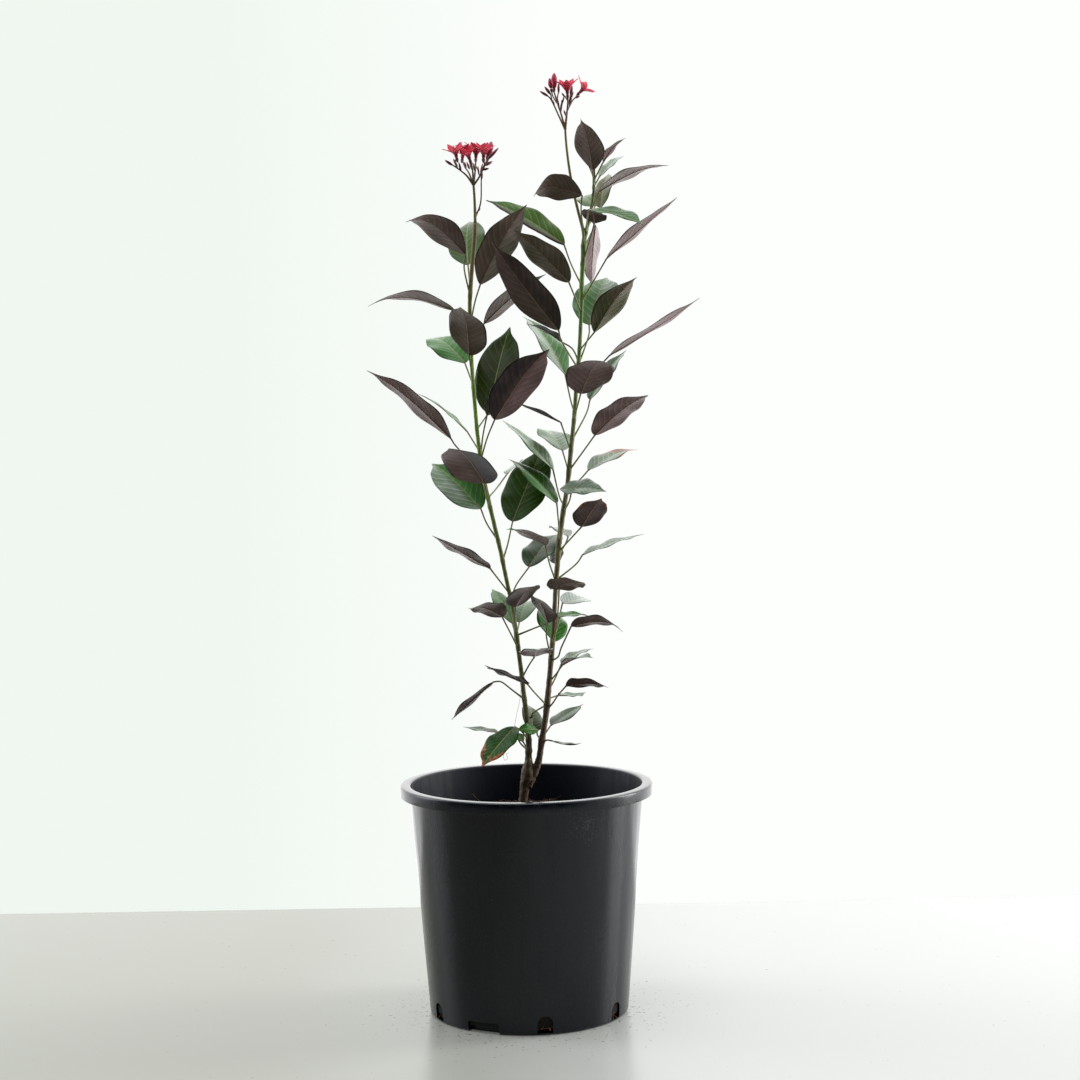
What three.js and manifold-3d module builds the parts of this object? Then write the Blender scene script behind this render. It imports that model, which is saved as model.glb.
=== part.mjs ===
// A potted jatropha: a young plant of two leafy stems with red flowers, in a black nursery pot.
// Millimetres, +Z up. The origin is the middle of the pot's underside, where the pot stands, and
// the front of the plant faces -Y.

import * as THREE from 'three';
import Module from 'manifold-3d';

const wasm = await Module();
wasm.setup();

// Driving dimensions of the whole
const GAP = 0.35;                 // clearance between two pieces that touch
const SLIVER = 0.03;              // joins leave no triangles finer than this
const EYE_DISTANCE = 2400;        // the plant is laid out as it looks from this far in front
const EYE_HEIGHT = 667;

// Driving dimensions of the pot, a 12 inch nursery pot
const POT_HEIGHT = 272;
const RIM_RADIUS = 150;
const RIM_INNER_RADIUS = 138.6;
const LIP_DROP = 13;
const FOOT_RADIUS = 118.3;
const WALL_TOP_RADIUS = 139;
const POT_WALL = 2.2;
const POT_FLOOR = 2.6;
const FLOOR_CHANNEL_DEPTH = 3;
const POT_FACETS = 40;
const FIRST_NOTCH_AZIMUTH = -27;  // degrees round from the front, to the right
const NOTCH_COUNT = 3;
const NOTCH_WIDTH = 40;
const NOTCH_HEIGHT = 13;
const DRAIN_OFFSET = 35.5;        // degrees from a notch to the drain holes beside it
const DRAIN_WIDTH = 18;
const DRAIN_HEIGHT = 20;
const DRAIN_SILL = 2.6;

// Driving dimensions of the soil and the foot of the trunk
const SOIL_DEPTH_BELOW_RIM = 42;
const SOIL_MOUND = 18;
const SOIL_MOUND_REACH = 30;
const SOIL_FACETS = 40;
const TRUNK_FOOT_HEIGHT = 182;

// Driving dimensions of leaves and flowers
const BLADE_THICKNESS = 0.85;
const PETAL_THICKNESS = 0.8;
const PETIOLE_RADIUS = 0.95;
const PETALS_PER_BLOOM = 5;
const CUP_LENGTH = 3.4;           // the green cup under each flower
const CUP_RADIUS = 2;
const NECK_LENGTH = 3.6;
const NECK_RADIUS = 2.3;

const degrees = THREE.MathUtils.degToRad;
const lerp = THREE.MathUtils.lerp;
const range = (count) => Array.from({ length: count }, (_, index) => index);

// A point read from the front at the eye's distance, moved to where it is at its own depth y
function seen([x, y, z]) {
  const reach = 1 + y / EYE_DISTANCE;
  return new THREE.Vector3(x * reach, y, EYE_HEIGHT + (z - EYE_HEIGHT) * reach);
}

// One closed solid through a row of rings that all have the same number of points. The second
// half of each ring is split along the other diagonal, so a thin blade has the same triangles
// on both of its faces.
function loft(rings) {
  const sides = rings[0].length;
  const triangles = [];
  const corner = (ring, side) => ring * sides + (side % sides);
  for (let ring = 0; ring < rings.length - 1; ring += 1) {
    for (let side = 0; side < sides; side += 1) {
      const a = corner(ring, side);
      const b = corner(ring, side + 1);
      const c = corner(ring + 1, side + 1);
      const d = corner(ring + 1, side);
      if (side < sides / 2) {
        triangles.push([a, b, c], [a, c, d]);
      } else {
        triangles.push([a, b, d], [b, c, d]);
      }
    }
  }
  for (let low = 0, high = sides - 1; low + 1 < high; low += 1, high -= 1) {
    [0, rings.length - 1].forEach((ring) => {
      const cap = [[corner(ring, low), corner(ring, high), corner(ring, low + 1)]];
      if (low + 1 < high - 1) {
        cap.push([corner(ring, low + 1), corner(ring, high), corner(ring, high - 1)]);
      }
      cap.forEach(([a, b, c]) => triangles.push(ring === 0 ? [a, b, c] : [a, c, b]));
    });
  }
  return solidFrom(rings.flat(), triangles);
}

// A solid from its points and triangles, turned right side out if its volume is negative
function solidFrom(points, triangles) {
  const volume = triangles.reduce((sum, [a, b, c]) => {
    const cross = points[b].clone().cross(points[c]);
    return sum + points[a].dot(cross);
  }, 0);
  const facing = triangles.map(([a, b, c]) => (volume < 0 ? [a, c, b] : [a, b, c]));
  const mesh = new wasm.Mesh({
    numProp: 3,
    vertProperties: Float32Array.from(points.flatMap((point) => point.toArray())),
    triVerts: Uint32Array.from(facing.flat()),
  });
  mesh.merge();
  return new wasm.Manifold(mesh);
}

// A solid from one of three.js's own closed geometries
function solidOf(geometry) {
  const position = geometry.getAttribute('position');
  const points = [];
  const known = new Map();
  const place = (index) => {
    const point = new THREE.Vector3().fromBufferAttribute(position, index);
    const key = point.toArray().map((value) => Math.round(value * 1e4)).join();
    if (!known.has(key)) {
      known.set(key, points.push(point) - 1);
    }
    return known.get(key);
  };
  const order = geometry.index ? Array.from(geometry.index.array) : range(position.count);
  const triangles = [];
  for (let start = 0; start < order.length; start += 3) {
    const [a, b, c] = order.slice(start, start + 3).map(place);
    if (a !== b && b !== c && c !== a) {
      triangles.push([a, b, c]);
    }
  }
  return solidFrom(points, triangles);
}

// A named mesh of a solid, with its own material
function mesh(name, solid, colour, roughness) {
  const { numProp, vertProperties, triVerts } = solid.getMesh();
  const geometry = new THREE.BufferGeometry();
  const positions = new THREE.InterleavedBufferAttribute(
    new THREE.InterleavedBuffer(vertProperties, numProp), 3, 0);
  geometry.setAttribute('position', positions);
  geometry.setIndex(new THREE.BufferAttribute(triVerts, 1));
  geometry.computeVertexNormals();
  const made = new THREE.Mesh(
    geometry,
    new THREE.MeshStandardMaterial({ color: colour, roughness, metalness: 0 }));
  made.name = name;
  return made;
}

// A round or many-sided tube along rows of x, y, z, radius
function tube(rows, sides, stepsPerSpan, extraRadius = 0) {
  const curve = new THREE.CatmullRomCurve3(rows.map(([x, y, z]) => new THREE.Vector3(x, y, z)));
  const spans = rows.length - 1;
  const steps = spans * stepsPerSpan;
  const start = curve.getTangent(0);
  const beside = Math.abs(start.y) > 0.8 ? new THREE.Vector3(1, 0, 0) : new THREE.Vector3(0, 1, 0);
  const rings = range(steps + 1).map((step) => {
    const along = (step / steps) * spans;
    const span = Math.min(Math.floor(along), spans - 1);
    const radius = lerp(rows[span][3], rows[span + 1][3], along - span) + extraRadius;
    const centre = curve.getPoint(step / steps);
    const tangent = curve.getTangent(step / steps);
    beside.addScaledVector(tangent, -beside.dot(tangent)).normalize();
    const across = tangent.clone().cross(beside);
    return range(sides).map((side) => {
      const turn = (side / sides) * 2 * Math.PI;
      return centre.clone()
        .addScaledVector(beside, radius * Math.cos(turn))
        .addScaledVector(across, radius * Math.sin(turn));
    });
  });
  return loft(rings);
}

// The pot: one lathed shell with a hanging lip and a channel pressed into its floor
function potShell() {
  const wallSlope = (WALL_TOP_RADIUS - FOOT_RADIUS) / (POT_HEIGHT - POT_WALL);
  const outer = (z) => FOOT_RADIUS + wallSlope * z;
  const under = POT_HEIGHT - POT_WALL;
  const lipFoot = POT_HEIGHT - LIP_DROP;
  const padRadius = 30;
  const channelRadius = 100;
  const channelTop = POT_FLOOR + FLOOR_CHANNEL_DEPTH;
  const profile = [
    [0, 0], [padRadius, 0],
    [padRadius + 3, FLOOR_CHANNEL_DEPTH], [channelRadius, FLOOR_CHANNEL_DEPTH],
    [channelRadius + 4, 0], [FOOT_RADIUS - 2.5, 0], [FOOT_RADIUS, 2.5],
    [outer(under), under],
    [RIM_RADIUS - POT_WALL, under], [RIM_RADIUS - POT_WALL, lipFoot],
    [RIM_RADIUS, lipFoot], [RIM_RADIUS, POT_HEIGHT - 2], [RIM_RADIUS - 2, POT_HEIGHT],
    [RIM_INNER_RADIUS, POT_HEIGHT], [outer(POT_HEIGHT - 3) - POT_WALL, POT_HEIGHT - 3],
    [outer(channelTop + 3) - POT_WALL, channelTop + 3],
    [outer(channelTop) - POT_WALL - 3, channelTop],
    [0, channelTop],
  ];
  const points = profile.map(([radius, z]) => new THREE.Vector2(radius, z));
  const turned = new THREE.LatheGeometry(points, POT_FACETS);
  return solidOf(turned.rotateX(Math.PI / 2));
}

// The outline of an opening with a rounded top, pushed out through the wall at an azimuth
function wallCutter(width, sill, height, topRadius, azimuth) {
  const half = width / 2;
  const top = sill + height;
  const outline = new THREE.Shape();
  outline.moveTo(-half, sill);
  outline.lineTo(half, sill);
  outline.lineTo(half, top - topRadius);
  outline.absarc(half - topRadius, top - topRadius, topRadius, 0, Math.PI / 2);
  outline.absarc(topRadius - half, top - topRadius, topRadius, Math.PI / 2, Math.PI);
  outline.closePath();
  const reach = 22;
  const pushed = new THREE.ExtrudeGeometry(
    outline, { depth: reach, bevelEnabled: false, curveSegments: 2 });
  pushed.rotateX(Math.PI / 2);
  pushed.translate(0, reach / 2 - FOOT_RADIUS, 0);
  pushed.rotateZ(degrees(azimuth));
  return solidOf(pushed);
}

function nurseryPot() {
  const cutters = range(NOTCH_COUNT).flatMap((index) => {
    const azimuth = FIRST_NOTCH_AZIMUTH + (index * 360) / NOTCH_COUNT;
    const notch = wallCutter(NOTCH_WIDTH, -1, NOTCH_HEIGHT + 1, 3, azimuth);
    const drains = [-DRAIN_OFFSET, DRAIN_OFFSET].map((offset) => wallCutter(
      DRAIN_WIDTH, DRAIN_SILL, DRAIN_HEIGHT, DRAIN_WIDTH / 2 - 0.1, azimuth + offset));
    return [notch, ...drains];
  });
  return potShell().subtract(wasm.Manifold.union(cutters));
}

// The soil fills the pot to a low mound round the trunk, with shallow lumps on top
function soilTop(radius, turn) {
  const base = POT_HEIGHT - SOIL_DEPTH_BELOW_RIM;
  const mound = SOIL_MOUND * Math.exp(-((radius / SOIL_MOUND_REACH) ** 2))
    - 4 * (radius / 135) ** 4;
  const lumps = Math.sin(radius * 0.16 + 3 * turn) * Math.cos(5 * turn - radius * 0.07);
  return base + mound + 1.3 * lumps * Math.min(radius / 40, 1);
}

function potSoil(trunk) {
  const wallSlope = (WALL_TOP_RADIUS - FOOT_RADIUS) / (POT_HEIGHT - POT_WALL);
  const inside = (z) => (FOOT_RADIUS - POT_WALL + wallSlope * z) * Math.cos(Math.PI / POT_FACETS) - GAP;
  const topRadii = [0, 14, 30, 50, 85, 120];
  const floor = POT_FLOOR + FLOOR_CHANNEL_DEPTH + GAP;
  const points = [];
  const triangles = [];
  const ringStart = [];
  const addRing = (radius, height) => {
    ringStart.push(points.length);
    range(SOIL_FACETS).forEach((side) => {
      const turn = (side / SOIL_FACETS) * 2 * Math.PI;
      const z = height === undefined ? soilTop(radius, turn) : height;
      const reach = radius === undefined ? inside(z) : radius;
      points.push(new THREE.Vector3(reach * Math.cos(turn), reach * Math.sin(turn), z));
    });
  };
  const bridge = (lower, upper) => range(SOIL_FACETS).forEach((side) => {
    const next = (side + 1) % SOIL_FACETS;
    const [a, b] = [lower + side, lower + next];
    const [c, d] = [upper + next, upper + side];
    triangles.push([a, b, c], [a, c, d]);
  });
  const edgeTop = POT_HEIGHT - SOIL_DEPTH_BELOW_RIM - 3.6;
  addRing(inside(floor) - 3.5, floor);
  addRing(undefined, floor + 3.5);
  addRing(undefined, edgeTop);
  topRadii.slice(1).reverse().forEach((radius) => addRing(radius));
  ringStart.slice(1).forEach((upper, index) => bridge(ringStart[index], upper));
  const bottomMiddle = points.push(new THREE.Vector3(0, 0, floor)) - 1;
  const topMiddle = points.push(new THREE.Vector3(0, 0, soilTop(0, 0))) - 1;
  const lastRing = ringStart[ringStart.length - 1];
  range(SOIL_FACETS).forEach((side) => {
    const next = (side + 1) % SOIL_FACETS;
    triangles.push([bottomMiddle, next, side], [topMiddle, lastRing + side, lastRing + next]);
  });
  return solidFrom(points, triangles).subtract(trunk);
}

// Stem centre lines: x, depth y, height z as seen from the front, and radius
const TRUNK_ROWS = [
  [-6, 0, TRUNK_FOOT_HEIGHT, 3.4], [-5.5, 0, 210, 5.6], [-5, 0, 236, 6.6], [-4.2, 0, 250, 5.3],
  [-1.6, 0, 268, 6], [1.6, 0, 281, 7.8], [2.8, 0, 292, 6.2], [3, -0.3, 301, 4.1],
];
const TRUNK_TIP_ROW = [-6, 0, TRUNK_FOOT_HEIGHT - 1.5 * GAP, 3.4];
const LEFT_STEM_ROWS = [
  ...TRUNK_ROWS,
  [3.5, -1, 322, 3.5], [1.2, -2, 350, 3.1], [-1.7, -3, 380, 2.8], [-4.8, -4, 410, 2.7],
  [-9.4, -5, 450, 2.6], [-13, -6, 480, 2.35], [-19.2, -7, 510, 2.4], [-24, -8, 535, 2.5],
  [-28, -8, 555, 2.5], [-38, -9, 600, 2.45], [-44.5, -10, 632, 2.4], [-51, -12, 680, 2.3],
  [-54, -12, 720, 2.3], [-57, -13, 770, 2.3], [-58.4, -14, 830, 2.3], [-56, -14, 870, 2.5],
  [-52, -14, 910, 2.6], [-50.3, -14, 934, 2.2],
];
const LEFT_PEDUNCLE_ROWS = [
  [-50.3, -14, 934 + 1.5 * GAP, 1.9], [-50.6, -14, 960, 1.6], [-51.5, -14, 979, 1.5],
];
const RIGHT_STEM_ROWS = [
  [2, 0, 266, 4.4], [6.2, 0.3, 277, 4.9], [11.6, 0.5, 288, 4.7], [16, 1, 301, 3.9],
  [19.3, 2, 322, 3.6],
  [24.2, 3, 350, 3.5], [27.8, 4, 380, 3.3], [30.8, 4, 410, 3.1], [34.6, 5, 450, 2.95],
  [36.7, 6, 480, 2.8], [38.7, 7, 510, 3], [40.6, 8, 530, 3.2], [42, 8, 550, 3.3],
  [48, 8, 590, 3], [54, 9, 625, 2.8], [58.5, 10, 665, 2.7], [63, 11, 705, 2.5],
  [66.5, 12, 745, 2.35], [70, 12, 780, 2.3], [73, 13, 830, 2.4], [74, 14, 860, 2.6],
  [76, 15, 890, 2.9], [77.5, 16, 912, 3],
  [81.5, 17, 929, 2.1], [88, 18, 958, 1.7], [90, 18, 980, 1.6], [90.5, 18, 1000, 1.2],
];
const RIGHT_PEDUNCLE_ROWS = [
  [77.3, 16, 914, 2], [76.2, 16, 926, 2.1], [72.5, 16, 940, 1.8], [66.5, 15, 966, 1.7],
  [61.8, 14, 992, 1.6], [58.5, 14, 1020, 1.5], [57, 14, 1043, 1.4],
];
const SNAPPED_TWIG_ROWS = [[2.5, -3, 290, 1.3], [5.5, -6.5, 296, 1.2], [4.4, -8, 300, 0.8]];

// A stem's rows moved to their own depths, and its centre at an apparent height
const placed = (rows) => rows.map(([x, y, z, radius]) => [...seen([x, y, z]).toArray(), radius]);

function stemAt(rows, height) {
  const above = rows.findIndex((row) => row[2] >= height);
  const [low, high] = [rows[above - 1], rows[above]];
  const share = (height - low[2]) / (high[2] - low[2]);
  return low.slice(0, 3).map((value, axis) => lerp(value, high[axis], share));
}

// Leaves, as seen from the front. Each row holds the height where the petiole leaves its stem,
// any points that the petiole passes, the blade's base and tip (x, depth y, z), the width that
// shows and the blade's own width, the face that shows, how far the midrib arches, and how far
// the halves fold up in degrees. Then, where a row has them, how full the outline is from 0 to 1
// and how far along the midrib the petiole joins.
const TOP = 'top';
const UNDER = 'under';
const RIGHT_LEAVES = [
  [975, [], [89, 8, 993], [75, -48, 1054], 31, 38, UNDER, 5, 10, 0],
  [982, [], [101, 14, 1003], [128, -14, 1031], 5, 20, UNDER, 3, 14, 0],
  [974, [], [97, 22, 987], [126, 46, 1010], 9, 20, TOP, 3, 14, 0.9],
  [984, [], [87, 24, 993], [69, 52, 1023], 4, 16, TOP, 2, 12, 0.2],
  [945, [], [96, 6, 969], [178, -46, 998], 6, 34, UNDER, 7, 12],
  [934, [], [98, 30, 950], [108, 90, 990], 21, 30, TOP, 4, 12],
  [936, [], [91, 50, 952], [74, 94, 962], 24, 28, TOP, 4, 10, 0.9],
  [922, [], [83, -28, 948], [148, -84, 929], 17, 36, TOP, 4, 16, 0.7],
  [884, [[82, 12, 905]], [90, 6, 932], [86, -24, 947], 25, 32, UNDER, 3, 10],
  [840, [[95, 8, 876]], [104, 2, 891], [188, -34, 961], 9, 40, UNDER, 0, 14],
  [922, [[86, 24, 934]], [91, 30, 929], [86, 68, 857], 20, 34, UNDER, 2, 12],
  [765, [[78, 16, 790], [82, 20, 803]], [82, 26, 813], [104, 110, 868], 54, 58, TOP, 7, 8, 0.8],
  [783, [], [88, -8, 804], [139, -66, 868], 28, 42, UNDER, 6, 12, 0.3],
  [828, [], [59, -6, 863], [-4, -62, 925], 29, 42, UNDER, 3, 12, 0.6],
  [859, [[62, 24, 884]], [54, 30, 907], [-37, 82, 960], 30, 44, TOP, 6, 12, 0.7],
  [762, [[50, -18, 793]], [46, -26, 807], [-31, -78, 911], 38, 54, UNDER, -2, 6, 0.6],
  [710, [[59, 20, 725]], [53, 32, 755], [4, 98, 824], 24, 46, TOP, 7, 12],
  [769, [[65, 14, 780], [60, 12, 787]], [50, 8, 793], [8, -22, 815], 4, 24, UNDER, 3, 16],
  [735, [], [106, -12, 777], [213, -44, 843], 8, 42, UNDER, -2, 12],
  [702, [], [71, -28, 732], [97, -118, 770], 47, 54, UNDER, 9, 6, 0.8],
  [677, [[77, 22, 708]], [82, 30, 725], [126, 84, 783], 16, 40, TOP, 3, 16, 0.6],
  [665, [[54, 6, 678]], [47, 2, 699], [-17, -26, 728], 2, 30, UNDER, 0, 12],
  [640, [], [48.5, 30, 665.5], [26, 112, 690], 28, 44, TOP, 6, 10],
  [641, [[76, 4, 668]], [87, -2, 683], [151, -66, 729], 27, 44, UNDER, 6, 12, 0.95],
  [600, [[44, 15, 612]], [37, 13, 643.5], [-22, 72, 702], 12, 42, TOP, 3, 12],
  [618, [[68, 18, 630]], [79, 26, 642], [137, 86, 665], 11, 38, TOP, 5, 14],
  [592, [[56, -4, 606]], [45, -12, 620], [100, -28, 616], 18, 40, TOP, 3, 12, 0.5,
    0.26],
  [558, [[43, -4, 575], [42, -9, 590]], [41, -14, 603], [-15, 32, 656], 17, 38, TOP, 5, 12, 0.6],
  [545, [], [70, -8, 575], [94, -50, 608], 34, 40, UNDER, 2, 8, 0.85],
  [512, [[62, 16, 530]], [71, 22, 542], [144, 70, 565], 4, 34, TOP, 2, 12],
  [510, [[31, -2, 533]], [27, -10, 554], [-19, -74, 573], 10, 38, UNDER, 4, 12],
  [540, [[50, 18, 554]], [54, 24, 563.5], [31, 62, 574], 5, 28, TOP, 4, 12, 0.3],
  [508, [[40, 16, 522]], [41, 24, 532], [41, 60, 549], 17, 20, TOP, 3, 8],
  [420, [[26.5, -14, 445]], [28, -26, 462.5], [10, -84, 493], 18, 36, UNDER, 5, 12],
  [425, [[35, 9, 432]], [36, 16, 439], [24, 90, 481], 32, 40, TOP, 6, 10],
  [363, [[12, -12, 378]], [3, -20, 389], [-47, -70, 412], 11, 34, UNDER, -1, 12, 0.9],
  [364, [[10, 20, 355]], [7, 12, 331], [3, 62, 364], 25, 34, TOP, 5, 12, 0.3, 0.45],
  [321, [[14, -5, 328]], [14, -10, 334], [-11, -26, 334], 12, 16, TOP, 2, 12],
  [435, [[38, -8, 455], [41, -14, 480]], [32, -10, 502], [73, -70, 508], 20, 36, UNDER, 3, 8, 0.9,
    0.25],
  [440, [[40, 14, 458], [43, 20, 472]], [46, 25, 484.5], [79, 84, 487], 9, 32, TOP, 4, 14],
  [416, [[40, -4, 421], [44, -9, 432]], [56, -14, 457], [117, -50, 449], 13, 36, UNDER, 10, 12,
    0.8],
  [380, [[36, 10, 395]], [44, 16, 413], [82, 56, 429.5], 3, 28, TOP, 3, 12],
  [391, [[37, 0, 400]], [45, -6, 411], [81, -46, 419], 4, 30, UNDER, 4, 14],
  [357, [[33, -2, 366], [40, -8, 376]], [49, -14, 386], [99, -52, 383], 15, 34, UNDER, 4, 12],
  [371, [], [40, 16, 375], [72, 50, 378], 2, 24, TOP, -2, 12],
  [324, [], [30, 15, 339], [69, 62, 364], 9, 32, TOP, 0, 12, 0],
  [318, [[25, -4, 321.5]], [32, -8, 320.5], [66, -36, 317.5], 3, 22, UNDER, -3, 12],
  [905, [[77.5, 11.5, 916], [75.8, 10, 932], [74.5, 7, 949]], [76, 3, 965], [19, -22, 964], 26, 40,
    UNDER, 16, 12, 0.7],
];
const LEFT_LEAVES = [
  [848, [[-64, -18, 880]], [-62, -22, 897], [-132, -72, 936], 26, 42, UNDER, 18, 10, 0.2],
  [852, [], [-59.5, 6, 885], [-56, 88, 936], 45, 48, TOP, 8, 8],
  [815, [[-52, -24, 842]], [-45.5, -30, 862], [11, -78, 955], 37, 48, UNDER, 7, 10],
  [785, [], [-42, -8, 816], [32, -26, 873], 18, 34, UNDER, 5, 12],
  [742, [], [-60, -42, 779.5], [-70, -118, 836], 42, 50, UNDER, 7, 8, 0.8],
  [743, [], [-65, 4, 770], [-107, 86, 799], 33, 48, TOP, 9, 8],
  [800, [], [-76, -24, 832], [-178, -60, 838], 7, 42, UNDER, 13, 14],
  [640, [[-75, -22, 670]], [-83, -26, 681.5], [-181, -62, 763], 20, 46, UNDER, 6, 12],
  [665, [], [-64, 6, 690], [-122, 52, 735], 2, 22, TOP, 4, 12],
  [692, [], [-38, 5, 711], [-11, 62, 812], 50, 54, TOP, 5, 8, 0.8],
  [657, [[-40, -26, 682]], [-31, -36, 703], [35, -98, 785], 43, 54, UNDER, 8, 10, 0.8],
  [660, [[-45, -12, 685]], [-40, -14, 708], [-5, -36, 745], 18, 30, UNDER, 3, 12],
  [600, [], [-44, -38, 628], [-86, -142, 669.5], 42, 60, UNDER, 10, -8, 0.85],
  [560, [[-42, -4, 580]], [-49, 4, 598], [-106, 82, 652], 43, 50, TOP, 7, 10, 0.85],
  [536, [[-18, 0, 555], [-14, 6, 572]], [-11.5, 12, 582.5], [26, 80, 671.5], 50, 56, TOP, 0, 8, 0.9],
  [611, [[-30, 44, 622]], [-17, 68, 639], [2, 112, 654], 6, 24, TOP, 2, 12],
  [497, [], [-39, -20, 527], [-107, -70, 567], 14, 38, UNDER, 0, 10],
  [488, [[-9, 0, 506]], [7, 16, 528], [45, 94, 567], 28, 46, TOP, 6, 10],
  [445, [[-11, -12, 462]], [-10, -26, 481], [14, -98, 505], 25, 40, UNDER, 5, 10, 0.8],
  [440, [], [-13.5, 10, 461], [-38, 78, 503], 20, 26, TOP, 4, 12],
  [432, [], [-25.5, -30, 469], [-63, -94, 479], 22, 38, UNDER, 6, 12, 0.8],
  [447, [], [-5.5, 24, 462.5], [8, 88, 488], 25, 34, TOP, 5, 10],
  [447, [[10, -4, 454.5], [28, -2, 461.5]], [41, -5, 468], [78, 28, 468], 2, 28, TOP, 3, 14],
  [396, [[5, -6, 411]], [12, -15, 421.5], [17, -94, 429], 38, 40, UNDER, 4, 6],
  [371, [[-15, -1, 382], [-28, 2, 392]], [-38, 4, 392], [-88, 46, 347.5], 11, 34, UNDER, 0, 12],
  [309, [[-6, 8, 318], [-14, 16, 329.5]], [-33, 26, 332], [-74, 56, 339], 2, 20, TOP, 0, 12],
  [322, [[-5, -14, 333]], [-12.5, -22, 338], [-53, -74, 290], 25, 36, TOP, 2, 10, 0.9],
  [309, [], [-3, 3, 320], [-13, 12, 331], 8, 12, TOP, 1.5, 12],
];

// The half width of a blade at t along it, as a share of its largest: widest before its middle,
// fuller or slimmer from leaf to leaf, and drawn out to a drip tip
const TOWARD_BASE = 0.8;
const SLIM_POWER = 1.15;
const FULL_POWER = 0.65;
const DRIP_TIP_START = 0.78;
const DRIP_TIP_RUN = 0.17;
const DRIP_TIP_CUT = 0.55;

function bladeShare(t, full) {
  const power = lerp(SLIM_POWER, FULL_POWER, full);
  const body = Math.max(Math.sin(Math.PI * t ** TOWARD_BASE), 0) ** power;
  const late = Math.max(0, Math.min(1, (t - DRIP_TIP_START) / DRIP_TIP_RUN));
  return body * (1 - DRIP_TIP_CUT * late * late * (3 - 2 * late));
}

// How much the middle of a blade stands above its margins, as a share of its half width
const BOW = 0.1;

// A blade's own directions: along it, across it and up from its upper face. Its roll about the
// midrib is the one that shows the given width and face to the front.
function bladeFrame(start, tip, seenWidth, width, face) {
  const along = tip.clone().sub(start).normalize();
  const away = new THREE.Vector3(0, 1, 0).addScaledVector(along, -along.y).normalize();
  const upright = along.clone().cross(away);
  if (upright.z < 0) {
    upright.negate();
  }
  const shown = Math.min(seenWidth / width, 1);
  const up = upright.multiplyScalar(Math.sqrt(1 - shown * shown));
  up.addScaledVector(away, face === TOP ? -shown : shown);
  return { along, up, across: along.clone().cross(up) };
}

// A point of a blade: t runs from base to tip, and side from -1 at one margin to 1 at the other
function bladePoint(leaf, t, side) {
  const { start, length, frame, width, arch, fold, full, wave, waves, phase } = leaf;
  const share = bladeShare(t, full);
  const half = Math.max((width / 2) * share, 0.7);
  const bulge = 2.6 * arch * (t - t ** 3);
  const rise = Math.abs(side) * half * Math.sin(degrees(fold)) - BOW * half * side * side;
  const ripple = wave * side * side * share * Math.sin(waves * t * 2 * Math.PI + phase + side);
  return start.clone()
    .addScaledVector(frame.along, length * t)
    .addScaledVector(frame.across, side * half * Math.cos(degrees(fold)))
    .addScaledVector(frame.up, bulge + rise + ripple);
}

// The rings of a thin blade: points on its upper face and back along its lower one
function bladeRings(leaf, stations) {
  const sides = [-1, 0, 1];
  const step = 0.01;
  return stations.map((t) => {
    const faces = sides.map((side) => {
      const forward = bladePoint(leaf, Math.min(t + step, 1), side)
        .sub(bladePoint(leaf, Math.max(t - step, 0), side));
      const sideways = bladePoint(leaf, t, side + step).sub(bladePoint(leaf, t, side - step));
      const normal = forward.cross(sideways).normalize();
      if (normal.dot(leaf.frame.up) < 0) {
        normal.negate();
      }
      const middle = bladePoint(leaf, t, side);
      const offset = normal.multiplyScalar(BLADE_THICKNESS / 2);
      return [middle.clone().add(offset), middle.clone().sub(offset)];
    });
    return [...faces.map(([upper]) => upper), ...faces.map(([, lower]) => lower).reverse()];
  });
}

// The rings of a petiole: six points each, laid out like a blade's, from inside the stem to
// the blade's base
function petioleRings(path, leaf, beyond) {
  const points = [...path, leaf.start, beyond];
  const across = leaf.frame.across.clone();
  return path.concat(leaf.start).map((point, index) => index).reverse().map((index) => {
    const ahead = points[index + 1].clone().sub(points[index]).normalize();
    const behind = points[index].clone().sub(points[Math.max(index - 1, 0)]).normalize();
    const tangent = ahead.add(behind).normalize();
    across.addScaledVector(tangent, -across.dot(tangent)).normalize();
    const upward = across.clone().cross(tangent);
    return HEXAGON.map(([sideways, up]) => points[index].clone()
      .addScaledVector(across, sideways * PETIOLE_RADIUS)
      .addScaledVector(upward, up * PETIOLE_RADIUS));
  }).reverse();
}

const HEXAGON = [[-0.87, 0.5], [0, 1], [0.87, 0.5], [0.87, -0.5], [0, -1], [-0.87, -0.5]];

// Where along the midrib a blade of at least the given width has its rings
const BLADE_STATIONS = [
  [44, [0.035, 0.13, 0.29, 0.49, 0.7, 0.87, 1]],
  [27, [0.05, 0.2, 0.42, 0.66, 0.86, 1]],
  [0, [0.08, 0.3, 0.58, 0.82, 1]],
];

function leafSolid(stemRows, row, index) {
  const [footHeight, via, base, end, seenWidth, width, face, arch, fold, full = 0.5,
    joint = 0] = row;
  const start = seen(base);
  const tip = seen(end);
  const leaf = {
    start,
    length: tip.distanceTo(start),
    frame: bladeFrame(start, tip, seenWidth, width, face),
    width,
    arch,
    fold,
    full,
    wave: width * 0.035,
    waves: 1.6 + (index % 3) * 0.5,
    phase: index * 1.7,
  };
  const [, stations] = BLADE_STATIONS.find(([atLeast]) => width >= atLeast);
  const path = [seen(stemAt(stemRows, footHeight)), ...via.map(seen)];
  if (joint > 0) {
    const petiole = [...path, bladePoint(leaf, joint, 0)]
      .map((point) => [...point.toArray(), PETIOLE_RADIUS]);
    return loft(bladeRings(leaf, [0, ...stations])).add(tube(petiole, 4, 1));
  }
  const petiole = petioleRings(path, leaf, bladePoint(leaf, stations[0], 0));
  return loft([...petiole, ...bladeRings(leaf, stations)]);
}

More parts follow.
